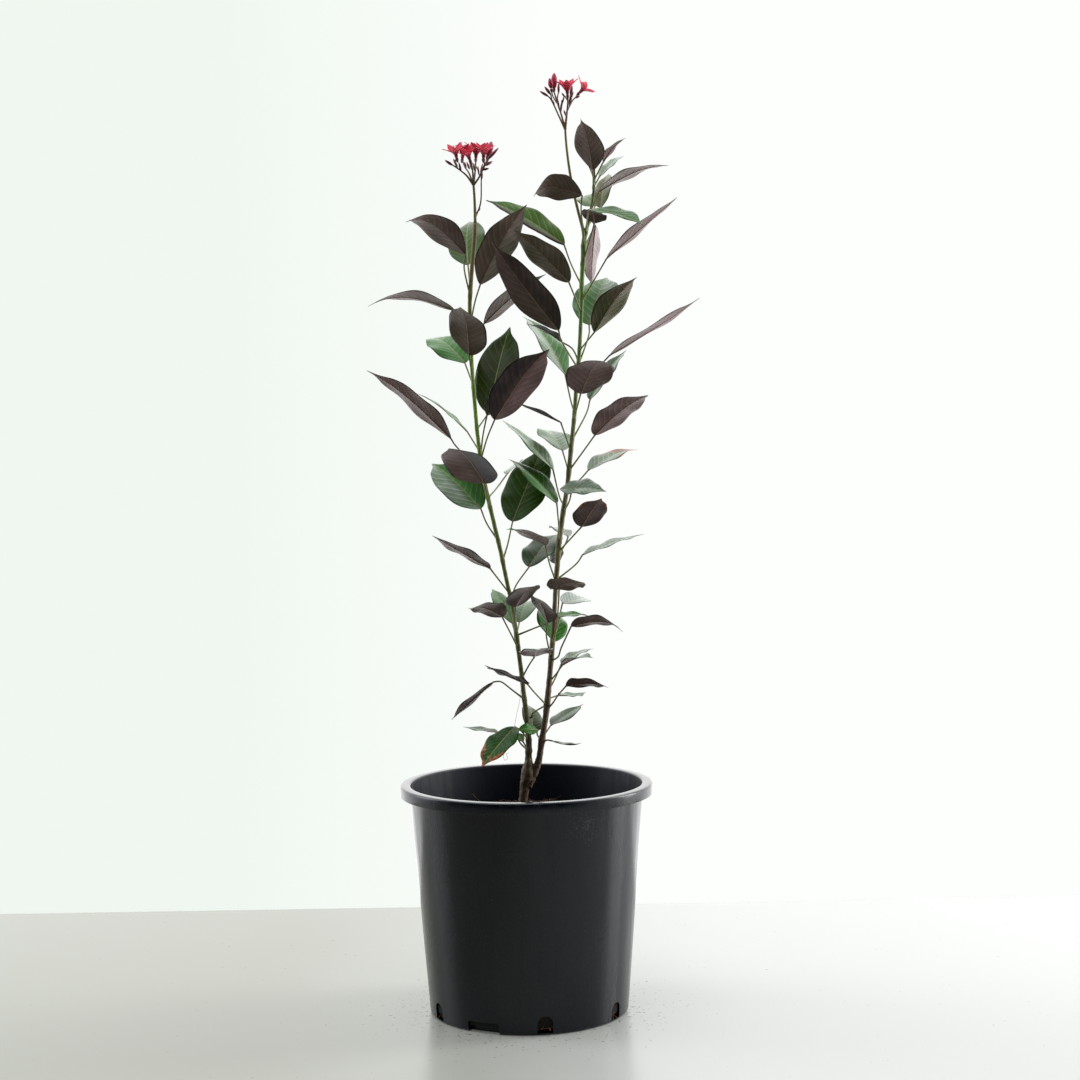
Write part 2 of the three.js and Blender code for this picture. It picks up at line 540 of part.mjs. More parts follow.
function leafyStem(wood, leafRows) {
  const woody = wood.map((rows) => tube(placed(rows), 7, 1));
  const leaves = leafRows.map((row, index) => leafSolid(wood[0], row, index));
  return wasm.Manifold.union([...woody, ...leaves]).simplify(SLIVER);
}

// A pointed bud from its foot along a direction: rows of distance and radius as shares
const BUD_OUTLINE = [[0, 0.35], [0.35, 1], [0.72, 0.85], [1, 0.15]];

function bud(foot, direction, length, radius, sides) {
  const rows = BUD_OUTLINE.map(([share, swell]) => {
    const point = foot.clone().addScaledVector(direction, length * share);
    return [...point.toArray(), radius * swell];
  });
  return tube(rows, sides, 1);
}

// Flower heads, as seen from the front: stalks of x, depth y, z, radius
const LEFT_HEAD_STALKS = [
  [[-51.5, -14, 978, 1.4], [-59, -17, 989, 1.1], [-67, -20, 996, 0.9], [-77, -22, 1003, 0.8]],
  [[-71, -21.5, 999, 0.9], [-72.5, -25, 1006, 0.8], [-70.5, -27, 1011, 0.9]],
  [[-51.5, -14, 978, 1.3], [-56.5, -9, 992, 1], [-61.5, -3, 1000, 0.9], [-64.5, 2, 1009, 0.9]],
  [[-51.5, -14, 978, 1.3], [-52.5, -20, 997, 1], [-54.5, -28, 1008, 0.9]],
  [[-51.5, -14, 978, 1.3], [-49, -6, 998, 1], [-48.5, 4, 1010, 0.9]],
  [[-51.5, -14, 978, 1.3], [-44, -17, 989, 1.1], [-38.5, -25, 1002, 0.9], [-39.5, -30, 1010, 0.9]],
  [[-40.5, -22, 996, 1], [-37, -17, 1003, 0.9], [-35.5, -13, 1009, 0.9]],
  [[-37.5, -18, 1002, 0.8], [-34, -22, 1009, 0.8]],
  [[-44, -17, 989, 0.9], [-47.5, -4, 999, 0.8], [-53, 8, 1004.5, 0.8], [-58, 14, 1011, 0.8]],
  [[-50.4, -14, 940, 1.2], [-43.5, -12, 958, 0.9], [-42.3, -11, 985, 0.8]],
];
const LEFT_HEAD_BUDS = [
  [[-76, -22, 1002], [-84, -22, 1007.5], 1.7], [[-71, -21.5, 1001], [-74.5, -18, 1009], 1.5],
  [[-66, -19, 995], [-68, -22, 1004], 1.4], [[-34.5, -21.5, 1008], [-22, -22, 1021], 1.9],
  [[-38, -20, 1001], [-29.5, -16, 1005.5], 1.8], [[-40.5, -22, 996], [-34, -22, 997.5], 1.5],
  [[-42.3, -11, 984], [-41, -10, 993], 1.3], [[-46.5, -13, 948], [-44.5, -16, 951], 1.1],
  [[-57.5, 13.5, 1010], [-60.5, 17, 1018], 1.3], [[-60, -5, 998], [-61.5, -10, 1005], 1.3],
];
const LEFT_BLOOMS = [
  [[-70.5, -27, 1010.5], [-73, -31, 1020], 16, 42], [[-64.5, 2, 1009], [-65, 4, 1018], 15, 28],
  [[-54.5, -28, 1007.5], [-57, -33, 1017], 15.5, 30], [[-48.5, 4, 1009.5], [-48, 7, 1019], 19, 34],
  [[-39.5, -30, 1009.5], [-39, -34, 1019], 16, 38],
];
const LEFT_BIG_BUDS = [[[-35.5, -13, 1009], [-29.5, -9, 1029], 4.2]];

const RIGHT_HEAD_STALKS = [
  [[57, 14, 1042, 1.4], [51, 11, 1055, 1], [42, 6, 1075, 0.9], [37, 4, 1081.5, 0.7]],
  [[42, 6, 1075, 0.8], [40.5, 3, 1084, 0.8]],
  [[57, 14, 1042, 1.5], [52.5, 15, 1060, 1.1], [49.5, 16, 1069, 1], [44.5, 17, 1086, 0.9]],
  [[47.5, 16, 1073, 0.9], [43, 8, 1081, 0.8], [42, 4, 1086, 0.8]],
  [[49.5, 16, 1069, 0.9], [48.5, 20, 1078, 0.8], [50, 24, 1086, 0.8]],
  [[52, 15, 1061, 0.8], [54, 10, 1072, 0.7]],
  [[57, 14, 1042, 1.8], [59, 13, 1058, 1.3], [60.5, 9, 1072, 1], [60.5, 2, 1083, 0.9]],
  [[60, 12, 1064, 1], [66, 18, 1075, 0.9], [70.5, 21, 1080, 0.9], [74.5, 23, 1085.5, 0.9]],
  [[60.5, 7, 1075, 0.7], [57, 9, 1081, 0.7]],
  [[61, 10, 1070, 0.8], [64, 18, 1082, 0.8]],
];
const RIGHT_HEAD_BUDS = [
  [[38, 4, 1080.5], [28.5, 3, 1086.5], 1.6], [[40.5, 3, 1083], [34, 2, 1091.5], 1.8],
  [[50, 24, 1084], [50, 25, 1095.5], 1.6], [[58.6, 12.5, 1057], [56, 6, 1064], 1.3],
  [[54, 10, 1071], [53.5, 9, 1075.5], 1.1], [[57, 9, 1080], [54, 9, 1084], 1.1],
  [[62, 12, 1074], [67, 11, 1085], 1.6], [[64, 18, 1081], [65.5, 20, 1093], 1.9],
  [[69, 20, 1078.5], [74, 14, 1080.5], 1.6],
];
const RIGHT_BLOOMS = [
  [[60.5, 2, 1083], [60, 0, 1092], 19, 40], [[74.5, 23, 1085.5], [77, 22, 1093], 15.5, 52],
];
const RIGHT_BIG_BUDS = [
  [[42, 4, 1086], [39.5, 2, 1102], 2.8], [[44.5, 17, 1086], [45, 18, 1108], 3.8],
];

// Where a bloom or a big bud sits: just clear of the cup at the end of its stalk
function seat(foot, toward) {
  const from = seen(foot);
  const direction = seen(toward).sub(from).normalize();
  return { from, direction };
}

// A flower head: its stalks, its closed buds, and a green cup under each flower
function flowerHead(peduncle, stalks, buds, flowers) {
  const pieces = [tube(placed(peduncle), 6, 1), ...stalks.map((rows) => tube(placed(rows), 3, 1))];
  buds.forEach(([foot, point, radius]) => {
    const { from, direction } = seat(foot, point);
    pieces.push(bud(from, direction, seen(point).distanceTo(from) + 1, radius, 4));
  });
  flowers.forEach(([foot, toward]) => {
    const { from, direction } = seat(foot, toward);
    const rows = [[-1.2, 0.8], [0.8, 1.6], [CUP_LENGTH, CUP_RADIUS]].map(([reach, radius]) => (
      [...from.clone().addScaledVector(direction, reach).toArray(), radius]));
    pieces.push(tube(rows, 5, 1));
  });
  return wasm.Manifold.union(pieces).simplify(SLIVER);
}

// A bloom: a short neck that opens into five rounded petals, which leave it almost straight,
// bend outwards and are widest near their rounded ends
const NECK_ROWS = [[0, 1.5], [NECK_LENGTH, NECK_RADIUS]];
const PETAL_OUTLINE = [[0, 0.14], [0.4, 0.3], [0.75, 0.54], [1, 0.26]];

function bloom([foot, toward, petalLength, opening], turn) {
  const { from, direction } = seat(foot, toward);
  const start = from.addScaledVector(direction, CUP_LENGTH + GAP);
  const neck = NECK_ROWS.map(([reach, radius]) => (
    [...start.clone().addScaledVector(direction, reach).toArray(), radius]));
  const sideways = new THREE.Vector3(1, 0, 0).addScaledVector(direction, -direction.x).normalize();
  const petals = range(PETALS_PER_BLOOM).map((index) => {
    const spin = turn + (index / PETALS_PER_BLOOM) * 2 * Math.PI;
    const outward = sideways.clone().applyAxisAngle(direction, spin);
    const root = start.clone().addScaledVector(direction, NECK_LENGTH - 1)
      .addScaledVector(outward, NECK_RADIUS - 0.9);
    return petal(root, direction, outward, petalLength - NECK_LENGTH, degrees(opening));
  });
  return wasm.Manifold.union([tube(neck, 5, 1), ...petals]).simplify(SLIVER);
}

function petal(root, direction, outward, length, opening) {
  const across = direction.clone().cross(outward);
  return loft(PETAL_OUTLINE.map(([reach, share]) => {
    const lean = opening * Math.min(1, 0.4 + reach);
    const along = direction.clone().multiplyScalar(Math.cos(lean))
      .addScaledVector(outward, Math.sin(lean));
    const face = direction.clone().multiplyScalar(Math.sin(lean))
      .addScaledVector(outward, -Math.cos(lean));
    const middle = root.clone().addScaledVector(along, length * reach);
    const half = (share * length) / 2;
    const corners = [[-1, 1], [1, 1], [1, -1], [-1, -1]];
    return corners.map(([side, upper]) => middle.clone()
      .addScaledVector(across, side * half)
      .addScaledVector(face, (upper * PETAL_THICKNESS) / 2));
  }));
}

function bigBud([foot, point, radius]) {
  const { from, direction } = seat(foot, point);
  const start = from.clone().addScaledVector(direction, CUP_LENGTH + GAP);
  return bud(start, direction, seen(point).distanceTo(start), radius, 6);
}

// The assembly
const leftCore = tube(placed(LEFT_STEM_ROWS), 7, 1, GAP);
const rightCore = tube(placed(RIGHT_STEM_ROWS), 7, 1, GAP);
const trunkHole = tube(placed([TRUNK_TIP_ROW, ...TRUNK_ROWS.slice(1)]), 7, 1, GAP);

const plant = new THREE.Group();
plant.add(
  mesh('nursery_pot', nurseryPot(), 0x17191c, 0.42),
  mesh('potting_soil', potSoil(trunkHole), 0x2b2019, 0.95),
  mesh('left_leafy_stem', leafyStem([LEFT_STEM_ROWS, SNAPPED_TWIG_ROWS], LEFT_LEAVES), 0x2f4a2c, 0.5),
  mesh('right_leafy_stem', leafyStem([RIGHT_STEM_ROWS], RIGHT_LEAVES).subtract(leftCore),
    0x2a4528, 0.5),
  mesh('left_flower_head',
    flowerHead(LEFT_PEDUNCLE_ROWS, LEFT_HEAD_STALKS, LEFT_HEAD_BUDS, [...LEFT_BLOOMS, ...LEFT_BIG_BUDS]),
    0x4a2a26, 0.55),
  mesh('right_flower_head',
    flowerHead(RIGHT_PEDUNCLE_ROWS, RIGHT_HEAD_STALKS, RIGHT_HEAD_BUDS,
      [...RIGHT_BLOOMS, ...RIGHT_BIG_BUDS]).subtract(rightCore),
    0x4a2a26, 0.55),
  ...LEFT_BLOOMS.map((row, index) => (
    mesh(`left_bloom_${index + 1}`, bloom(row, index * 0.5), 0xb81f34, 0.5))),
  ...RIGHT_BLOOMS.map((row, index) => (
    mesh(`right_bloom_${index + 1}`, bloom(row, index * 0.5), 0xb81f34, 0.5))),
  ...LEFT_BIG_BUDS.map((row) => mesh('left_red_bud', bigBud(row), 0xa01a2c, 0.5)),
  ...RIGHT_BIG_BUDS.map((row, index) => (
    mesh(`right_red_bud_${index + 1}`, bigBud(row), 0xa01a2c, 0.5))),
);

export default plant;
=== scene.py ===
# A potted jatropha: a young plant of two leafy stems with red flowers, in a black nursery pot.
# It is laid out as an add-on and run as a script. Lengths in the tables are millimetres.

import math
import random
from collections import namedtuple

import bmesh
import bpy
from bpy.props import FloatProperty, FloatVectorProperty, IntProperty, PointerProperty
from mathutils import Matrix, Vector, noise


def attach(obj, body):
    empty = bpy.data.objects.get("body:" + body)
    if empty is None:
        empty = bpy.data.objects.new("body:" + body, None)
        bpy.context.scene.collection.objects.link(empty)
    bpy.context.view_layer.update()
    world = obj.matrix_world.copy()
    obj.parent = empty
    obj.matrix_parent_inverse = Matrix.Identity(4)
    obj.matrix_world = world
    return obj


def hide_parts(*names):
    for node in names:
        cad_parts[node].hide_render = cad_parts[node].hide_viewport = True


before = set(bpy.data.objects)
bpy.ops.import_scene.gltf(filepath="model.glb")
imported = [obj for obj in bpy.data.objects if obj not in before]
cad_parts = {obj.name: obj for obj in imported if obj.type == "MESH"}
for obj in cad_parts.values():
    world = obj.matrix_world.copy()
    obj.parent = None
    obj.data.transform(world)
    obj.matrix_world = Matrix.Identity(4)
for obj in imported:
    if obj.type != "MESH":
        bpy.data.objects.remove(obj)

bl_info = {
    "name": "Potted jatropha",
    "version": (1, 0, 0),
    "blender": (4, 5, 0),
    "location": "View3D > Sidebar > Jatropha",
    "description": "Builds a potted jatropha round its packed model, piece by piece",
    "category": "Add Mesh",
}

MM = 0.001
BODY = "root"

# How close points are to be one in a turned shape and in a tube, and how close a point is to be
# on a ring or level with an edge
MERGE = 1e-3
TUBE_MERGE = 1e-4
ON_RING = 0.05
LEVEL_WITH = 0.01

# The plant is laid out as it looks from this far in front, at this height
EYE_DISTANCE = 2400
EYE_HEIGHT = 667

# The camera that the layout was read with: focal length in pixels of the square frame, and degrees
FRAME_PIXELS = 1080
FOCAL_PIXELS = 2028.6
SENSOR_WIDTH = 36
CAMERA_YAW = -0.489
CAMERA_PITCH = 2.553
CAMERA_ROLL = 0.834

# The floor lies this far under the pot's foot, in metres, and the lights aim at the plant's middle
FLOOR_DROP = 0.0002
LIGHTS_AIM = (0, 0, 0.6)

# The pot
POT_HEIGHT = 272
RIM_RADIUS = 150
RIM_INNER_RADIUS = 138.6
LIP_DROP = 13
FOOT_RADIUS = 118.3
WALL_TOP_RADIUS = 139
POT_WALL = 2.2
POT_FLOOR = 2.6
FLOOR_CHANNEL_DEPTH = 3
PAD_RADIUS = 30
CHANNEL_RADIUS = 100
WALL_SLOPE = (WALL_TOP_RADIUS - FOOT_RADIUS) / (POT_HEIGHT - POT_WALL)

# How far the pot's sloped steps run, the facets of its rounded edges, and how far below the rim
# the skin inside it starts
FOOT_CHAMFER = 2.5
POT_SLANT = 3
CHANNEL_SLANT = 4
EDGE_FACETS = 4
LIP_EDGE = 1

# The pot's openings: notches through the foot and drain holes above it, and the blocks that cut
# them. Nothing loose in them comes nearer to the table than the clearance.
FIRST_NOTCH_AZIMUTH = -27
NOTCH_COUNT = 3
NOTCH_WIDTH = 40
NOTCH_HEIGHT = 13
NOTCH_CORNER = 3
DRAIN_OFFSET = 35.5
DRAIN_WIDTH = 18
DRAIN_HEIGHT = 20
DRAIN_SILL = 2.6
DRAIN_FLAT = 0.1
CUTTER_REACH = 22
CUTTER_OVERLAP = 1
CUTTER_FACETS = 8
TABLE_CLEARANCE = 0.3

# Marks on the pot: a splash of dried soil, and how far below the rim its rubbed edge runs
SPLASH_CENTRE = (66, -119, 241)
SPLASH_REACH = 30
LIP_RUBBED_FROM = 1.6
LIP_RUBBED_TO = 0.3

# The soil: a mound round the trunk, a sag towards the wall, shallow lumps and a rough top
SOIL_DEPTH_BELOW_RIM = 42
SOIL_MOUND = 18
SOIL_MOUND_REACH = 30
SOIL_SAG = 4
SOIL_SAG_RADIUS = 135
SOIL_LUMP = 1.3
SOIL_LUMP_REACH = 40
SOIL_ROUGHNESS = 2.2
SOIL_EDGE_DROP = 4
SOIL_EDGE_FADE = 4
SOIL_FOOT_CHAMFER = 3.5
SOIL_FOOT_STEP = 3
SOIL_FOOT_STEPS = 7
SOIL_RINGS = 60
SOIL_STEPS_ROUND = 200
# The soil darkens towards its foot between these heights: a painted shade inside the pot
SOIL_SHADE_FULL_BELOW = 10
SOIL_SHADE_ENDS_ABOVE = 50
TRUNK_FOOT_HEIGHT = 182

# Crumbs and coir fibres, on the soil and in the drain holes. A crumb turns almost all the way, and
# the seed is for the noise that pushes it out of round.
SCATTER_RADIUS = 128
CRUMB_TURN = 6.28
CRUMB_NOISE_SEED = 5
FIBRE_COUNT = 70
FIBRE_SCATTER_RADIUS = 126
FIBRE_BENDS = 5
FIBRE_RADIUS = 0.3
FIBRES_PER_DRAIN = 9
CRUMBS_PER_DRAIN = 5
FIBRE_SETBACK = 3.4
CRUMB_SETBACK = 4.6

# The gap left between two pieces that touch in the plant, so that their faces don't mix
GAP = 0.35

# Stems: where a petiole leaves one it swells, and low down it is wrinkled and knobby
NODE_SWELL = 0.16
NODE_SWELL_LIMIT = 1.5
NODE_SWELL_REACH = 2.6
KNOBBY_BELOW = 330
KNOBBY_FADE = 60
WRINKLE = 0.18
KNOBBINESS = 0.9

# Leaf blades: where each is broadest, how full a slim and a full one are, its drawn-out drip tip,
# its side veins, how far it puckers between them and bows, how high a rolled margin lies, how far
# the midrib arches and the margin ripples, and the marks that its skin reads
TOWARD_BASE = 0.8
SLIM_POWER = 1.15
FULL_POWER = 0.65
DRIP_TIP_START = 0.78
DRIP_TIP_RUN = 0.17
DRIP_TIP_CUT = 0.55
SIDE_VEINS = 9.5
VEIN_SLANT = 0.3
PUCKER = 0.22
BOW = 0.1
ROLL_LIFT = 1.2
ARCH_SCALE = 2.6
RIPPLE = 0.035
LEAST_HALF_WIDTH = 0.12
MARKS = ("along", "off", "margin", "rib", "tone", "scorch", "cast")

# Leaf stalks, and the midrib that stands out under each blade
PETIOLE_RADIUS = 0.95
MIDRIB_RADIUS = 0.75
MIDRIB_TIP_RADIUS = 0.1
MIDRIB_DROP = 0.25
MIDRIB_SHARE = 0.96

# Flowers: a cup, a neck, petals that are broadest at a share of their length, stamens and the
# turn by which a red bud's petals wind
CUP_LENGTH = 3.4
CUP_RADIUS = 2
NECK_LENGTH = 3.6
NECK_RADIUS = 2.3
PETALS_PER_BLOOM = 5
PETAL_BREADTH = 0.235
BROADEST = 0.6
CLAW_WIDTH = 0.25
FIRST_PETAL_TURN = math.pi + 0.3
NEXT_BLOOM_TURN = 0.7
STAMENS_PER_BLOOM = 7
STAMEN_SEED = 20
STAMEN_RADIUS = 0.22
ANTHER_RADIUS = 0.55
BUD_WINDING = 2.4

# Outlines from foot to end: distance and radius, and for a bud shares of its length and radius
CUP_OUTLINE = ((-1.2, 0.8), (0.8, 1.6), (2.2, 1.95), (CUP_LENGTH, CUP_RADIUS))
NECK_OUTLINE = ((0, 1.5), (1.6, 1.9), (NECK_LENGTH, NECK_RADIUS))
BUD_OUTLINE = ((0, 0.35), (0.12, 0.72), (0.35, 1), (0.6, 0.93), (0.8, 0.66), (0.94, 0.3), (1, 0.08))

# Stem centre lines: x, depth y, height z as seen from the front, and radius
TRUNK_ROWS = (
    (-6, 0, TRUNK_FOOT_HEIGHT, 3.4), (-5.5, 0, 210, 5.6), (-5, 0, 236, 6.6), (-4.2, 0, 250, 5.3),
    (-1.6, 0, 268, 6), (1.6, 0, 281, 7.8), (2.8, 0, 292, 6.2), (3, -0.3, 301, 4.1),
)
LEFT_STEM_ROWS = TRUNK_ROWS + (
    (3.5, -1, 322, 3.5), (1.2, -2, 350, 3.1), (-1.7, -3, 380, 2.8), (-4.8, -4, 410, 2.7),
    (-9.4, -5, 450, 2.6), (-13, -6, 480, 2.35), (-19.2, -7, 510, 2.4), (-24, -8, 535, 2.5),
    (-28, -8, 555, 2.5), (-38, -9, 600, 2.45), (-44.5, -10, 632, 2.4), (-51, -12, 680, 2.3),
    (-54, -12, 720, 2.3), (-57, -13, 770, 2.3), (-58.4, -14, 830, 2.3), (-56, -14, 870, 2.5),
    (-52, -14, 910, 2.6), (-50.3, -14, 934, 2.2),
)
LEFT_PEDUNCLE_ROWS = ((-50.3, -14, 934.5, 1.9), (-50.6, -14, 960, 1.6), (-51.5, -14, 979, 1.5))
RIGHT_STEM_ROWS = (
    (2, 0, 266, 4.4), (6.2, 0.3, 277, 4.9), (11.6, 0.5, 288, 4.7), (16, 1, 301, 3.9),
    (19.3, 2, 322, 3.6),
    (24.2, 3, 350, 3.5), (27.8, 4, 380, 3.3), (30.8, 4, 410, 3.1), (34.6, 5, 450, 2.95),
    (36.7, 6, 480, 2.8), (38.7, 7, 510, 3), (40.6, 8, 530, 3.2), (42, 8, 550, 3.3),
    (48, 8, 590, 3), (54, 9, 625, 2.8), (58.5, 10, 665, 2.7), (63, 11, 705, 2.5),
    (66.5, 12, 745, 2.35), (70, 12, 780, 2.3), (73, 13, 830, 2.4), (74, 14, 860, 2.6),
    (76, 15, 890, 2.9), (77.5, 16, 912, 3), (81.5, 17, 929, 2.1), (88, 18, 958, 1.7),
    (90, 18, 980, 1.6), (90.5, 18, 1000, 1.2),
)
RIGHT_PEDUNCLE_ROWS = (
    (77.3, 16, 914, 2), (76.2, 16, 926, 2.1), (72.5, 16, 940, 1.8), (66.5, 15, 966, 1.7),
    (61.8, 14, 992, 1.6), (58.5, 14, 1020, 1.5), (57, 14, 1043, 1.4),
)
THREAD_RADIUS = 0.22
THREAD_POINTS = (
    (-3.8, -6, 392), (-6, -9, 372), (-9.5, -11, 356), (-13, -12, 340), (-16, -13, 326),
    (-21.5, -14, 316), (-24.5, -13, 309), (-27, -12, 303), (-25, -12, 298.5), (-22, -14, 301),
    (-23, -14, 306), (-20, -12, 307),
)
SNAPPED_TWIG_ROWS = ((2.5, -3, 290, 1.3), (5.5, -6.5, 296, 1.2), (4.4, -8, 300, 0.8))

# Leaves, as seen from the front: the height where the petiole leaves its stem, the points that it
# passes, the blade's base and tip, the width that shows and the blade's own, the face that shows,
# how far the midrib arches, how far the two sides fold up in degrees, and how pale the leaf is:
# its own colour together with a painted sheen, palest where a glossy leaf would catch the light.
# Some have a joint, the share of the midrib where the petiole meets it, a scorched tip, or a cast:
# how far the shown face turns from green to bronze, or from plum to green underneath. full is how
# full the outline is, from slim at 0; the painted half shade is how much paler one side of the
# midrib is than the other, painted light and shade as on a folded leaf whose sides face the light
# differently; and rolled is the share of a half whose margin rolls back over it.
TOP = "top"
UNDER = "under"
Leaf = namedtuple(
    "Leaf",
    "foot via base tip seen_width width face arch fold tone joint scorch cast full halves rolled",
    defaults=(0, 0, 0, 0.5, 0, 0))
RIGHT_LEAVES = (
    Leaf(975, (), (89, 8, 993), (75, -48, 1054), 31, 38, UNDER, 5, 10, 0.58, full=0, halves=0.04),
    Leaf(982, (), (101, 14, 1003), (128, -14, 1031), 5, 20, UNDER, 3, 14, 0.5, full=0),
    Leaf(974, (), (97, 22, 987), (126, 46, 1010), 9, 20, TOP, 3, 14, 0.9, full=0.9),
    Leaf(984, (), (87, 24, 993), (69, 52, 1023), 4, 16, TOP, 2, 12, 0.5, full=0.2),
    Leaf(945, (), (96, 6, 969), (178, -46, 998), 6, 34, UNDER, 7, 12, 0.85),
    Leaf(934, (), (98, 30, 950), (108, 90, 990), 21, 30, TOP, 4, 12, 0.4, cast=0.8),
    Leaf(936, (), (91, 50, 952), (74, 94, 962), 24, 28, TOP, 4, 10, 0.66, full=0.9, cast=0.3),
    Leaf(922, (), (83, -28, 948), (148, -84, 929), 17, 36, TOP, 4, 16, 0.56, full=0.7, halves=-0.2),
    Leaf(884, ((82, 12, 905),), (90, 6, 932), (86, -24, 947), 25, 32, UNDER, 3, 10, 0.34),
    Leaf(840, ((95, 8, 876),), (104, 2, 891), (188, -34, 961), 9, 40, UNDER, 0, 14, 0.68),
    Leaf(922, ((86, 24, 934),), (91, 30, 929), (86, 68, 857), 20, 34, UNDER, 2, 12, 0.84, halves=0.22),
    Leaf(765, ((78, 16, 790), (82, 20, 803)), (82, 26, 813), (104, 110, 868), 54, 58, TOP, 7, 8, 0.74,
         full=0.8, halves=0.1),
    Leaf(783, (), (88, -8, 804), (139, -66, 868), 28, 42, UNDER, 6, 12, 0.5, cast=0.7, full=0.3,
         halves=-0.12),
    Leaf(828, (), (59, -6, 863), (-4, -62, 925), 29, 42, UNDER, 3, 12, 0.5, cast=0.25, full=0.6),
    Leaf(859, ((62, 24, 884),), (54, 30, 907), (-37, 82, 960), 30, 44, TOP, 6, 12, 0.34, full=0.7,
         halves=0.1, cast=0.35, rolled=-0.3),
    Leaf(762, ((50, -18, 793),), (46, -26, 807), (-31, -78, 911), 38, 54, UNDER, -2, 6, 0.3,
         full=0.6, halves=0.1),
    Leaf(710, ((59, 20, 725),), (53, 32, 755), (4, 98, 824), 24, 46, TOP, 7, 12, 0.74, halves=-0.15),
    Leaf(769, ((65, 14, 780), (60, 12, 787)), (50, 8, 793), (8, -22, 815), 4, 24, UNDER, 3, 16, 0.05),
    Leaf(735, (), (106, -12, 777), (213, -44, 843), 8, 42, UNDER, -2, 12, 0.72),
    Leaf(702, (), (71, -28, 732), (97, -118, 770), 47, 54, UNDER, 9, 6, 0.42, full=0.8),
    Leaf(677, ((77, 22, 708),), (82, 30, 725), (126, 84, 783), 16, 40, TOP, 3, 16, 0.5, full=0.6,
         halves=0.3),
    Leaf(665, ((54, 6, 678),), (47, 2, 699), (-17, -26, 728), 2, 30, UNDER, 0, 12, 0.1),
    Leaf(640, (), (48.5, 30, 665.5), (26, 112, 690), 28, 44, TOP, 6, 10, 0.82),
    Leaf(641, ((76, 4, 668),), (87, -2, 683), (151, -66, 729), 27, 44, UNDER, 6, 12, 0.5,
         full=0.95, halves=-0.08),
    Leaf(600, ((44, 15, 612),), (37, 13, 643.5), (-22, 72, 702), 12, 42, TOP, 3, 12, 0.74, scorch=0.8),
    Leaf(618, ((68, 18, 630),), (79, 26, 642), (137, 86, 665), 11, 38, TOP, 5, 14, 0.8,
         scorch=1.22),
    Leaf(592, ((56, -4, 606),), (45, -12, 620), (100, -28, 616), 18, 40, TOP, 3, 12, 0.84,
         joint=0.26, scorch=0.3),
    Leaf(558, ((43, -4, 575), (42, -9, 590)), (41, -14, 603), (-15, 32, 656), 17, 38, TOP, 5, 12,
         0.38, full=0.6, halves=-0.15, scorch=0.88),
    Leaf(545, (), (70, -8, 575), (94, -50, 608), 34, 40, UNDER, 2, 8, 0.28, scorch=0.95, full=0.85),
    Leaf(512, ((62, 16, 530),), (71, 22, 542), (144, 70, 565), 4, 34, TOP, 2, 12, 0.8),
    Leaf(510, ((31, -2, 533),), (27, -10, 554), (-19, -74, 573), 10, 38, UNDER, 4, 12, 0.6),
    Leaf(540, ((50, 18, 554),), (54, 24, 563.5), (31, 62, 574), 5, 28, TOP, 4, 12, 1, full=0.3),
    Leaf(508, ((40, 16, 522),), (41, 24, 532), (41, 60, 549), 17, 20, TOP, 3, 8, 1),
    Leaf(420, ((26.5, -14, 445),), (28, -26, 462.5), (10, -84, 493), 18, 36, UNDER, 5, 12, 0.26),
    Leaf(425, ((35, 9, 432),), (36, 16, 439), (24, 90, 481), 32, 40, TOP, 6, 10, 0.5),
    Leaf(363, ((12, -12, 378),), (3, -20, 389), (-47, -70, 412), 11, 34, UNDER, -1, 12, 0.2, full=0.9),
    Leaf(364, ((10, 20, 355),), (7, 12, 331), (3, 62, 364), 25, 34, TOP, 5, 12, 0.22, joint=0.45,
         cast=0.5, full=0.3, scorch=0.85),
    Leaf(321, ((14, -5, 328),), (14, -10, 334), (-11, -26, 334), 12, 16, TOP, 2, 12, 0.4, scorch=0.9),
    Leaf(435, ((38, -8, 455), (41, -14, 480)), (32, -10, 502), (73, -70, 508), 20, 36, UNDER,
         3, 8, 0.5, joint=0.25, full=0.9),
    Leaf(440, ((40, 14, 458), (43, 20, 472)), (46, 25, 484.5), (79, 84, 487), 9, 32, TOP, 4, 14, 0.95),
    Leaf(416, ((40, -4, 421), (44, -9, 432)), (56, -14, 457), (117, -50, 449), 13, 36, UNDER, 10,
         12, 0.35, scorch=0.3, full=0.8),
    Leaf(380, ((36, 10, 395),), (44, 16, 413), (82, 56, 429.5), 3, 28, TOP, 3, 12, 0.7),
    Leaf(391, ((37, 0, 400),), (45, -6, 411), (81, -46, 419), 4, 30, UNDER, 4, 14, 0.6, scorch=0.95),
    Leaf(357, ((33, -2, 366), (40, -8, 376)), (49, -14, 386), (99, -52, 383), 15, 34, UNDER, 4,
         12, 0.3),
    Leaf(371, (), (40, 16, 375), (72, 50, 378), 2, 24, TOP, -2, 12, 0.28),
    Leaf(324, (), (30, 15, 339), (69, 62, 364), 9, 32, TOP, 0, 12, 0.2, scorch=0.8, full=0),
    Leaf(318, ((25, -4, 321.5),), (32, -8, 320.5), (66, -36, 317.5), 3, 22, UNDER, -3, 12, 0.15,
         cast=0.5, scorch=0.85),
    Leaf(905, ((77.5, 11.5, 916), (75.8, 10, 932), (74.5, 7, 949)), (76, 3, 965), (19, -22, 964),
         26, 40, UNDER, 16, 12, 0.46, cast=0.15, full=0.4),
)
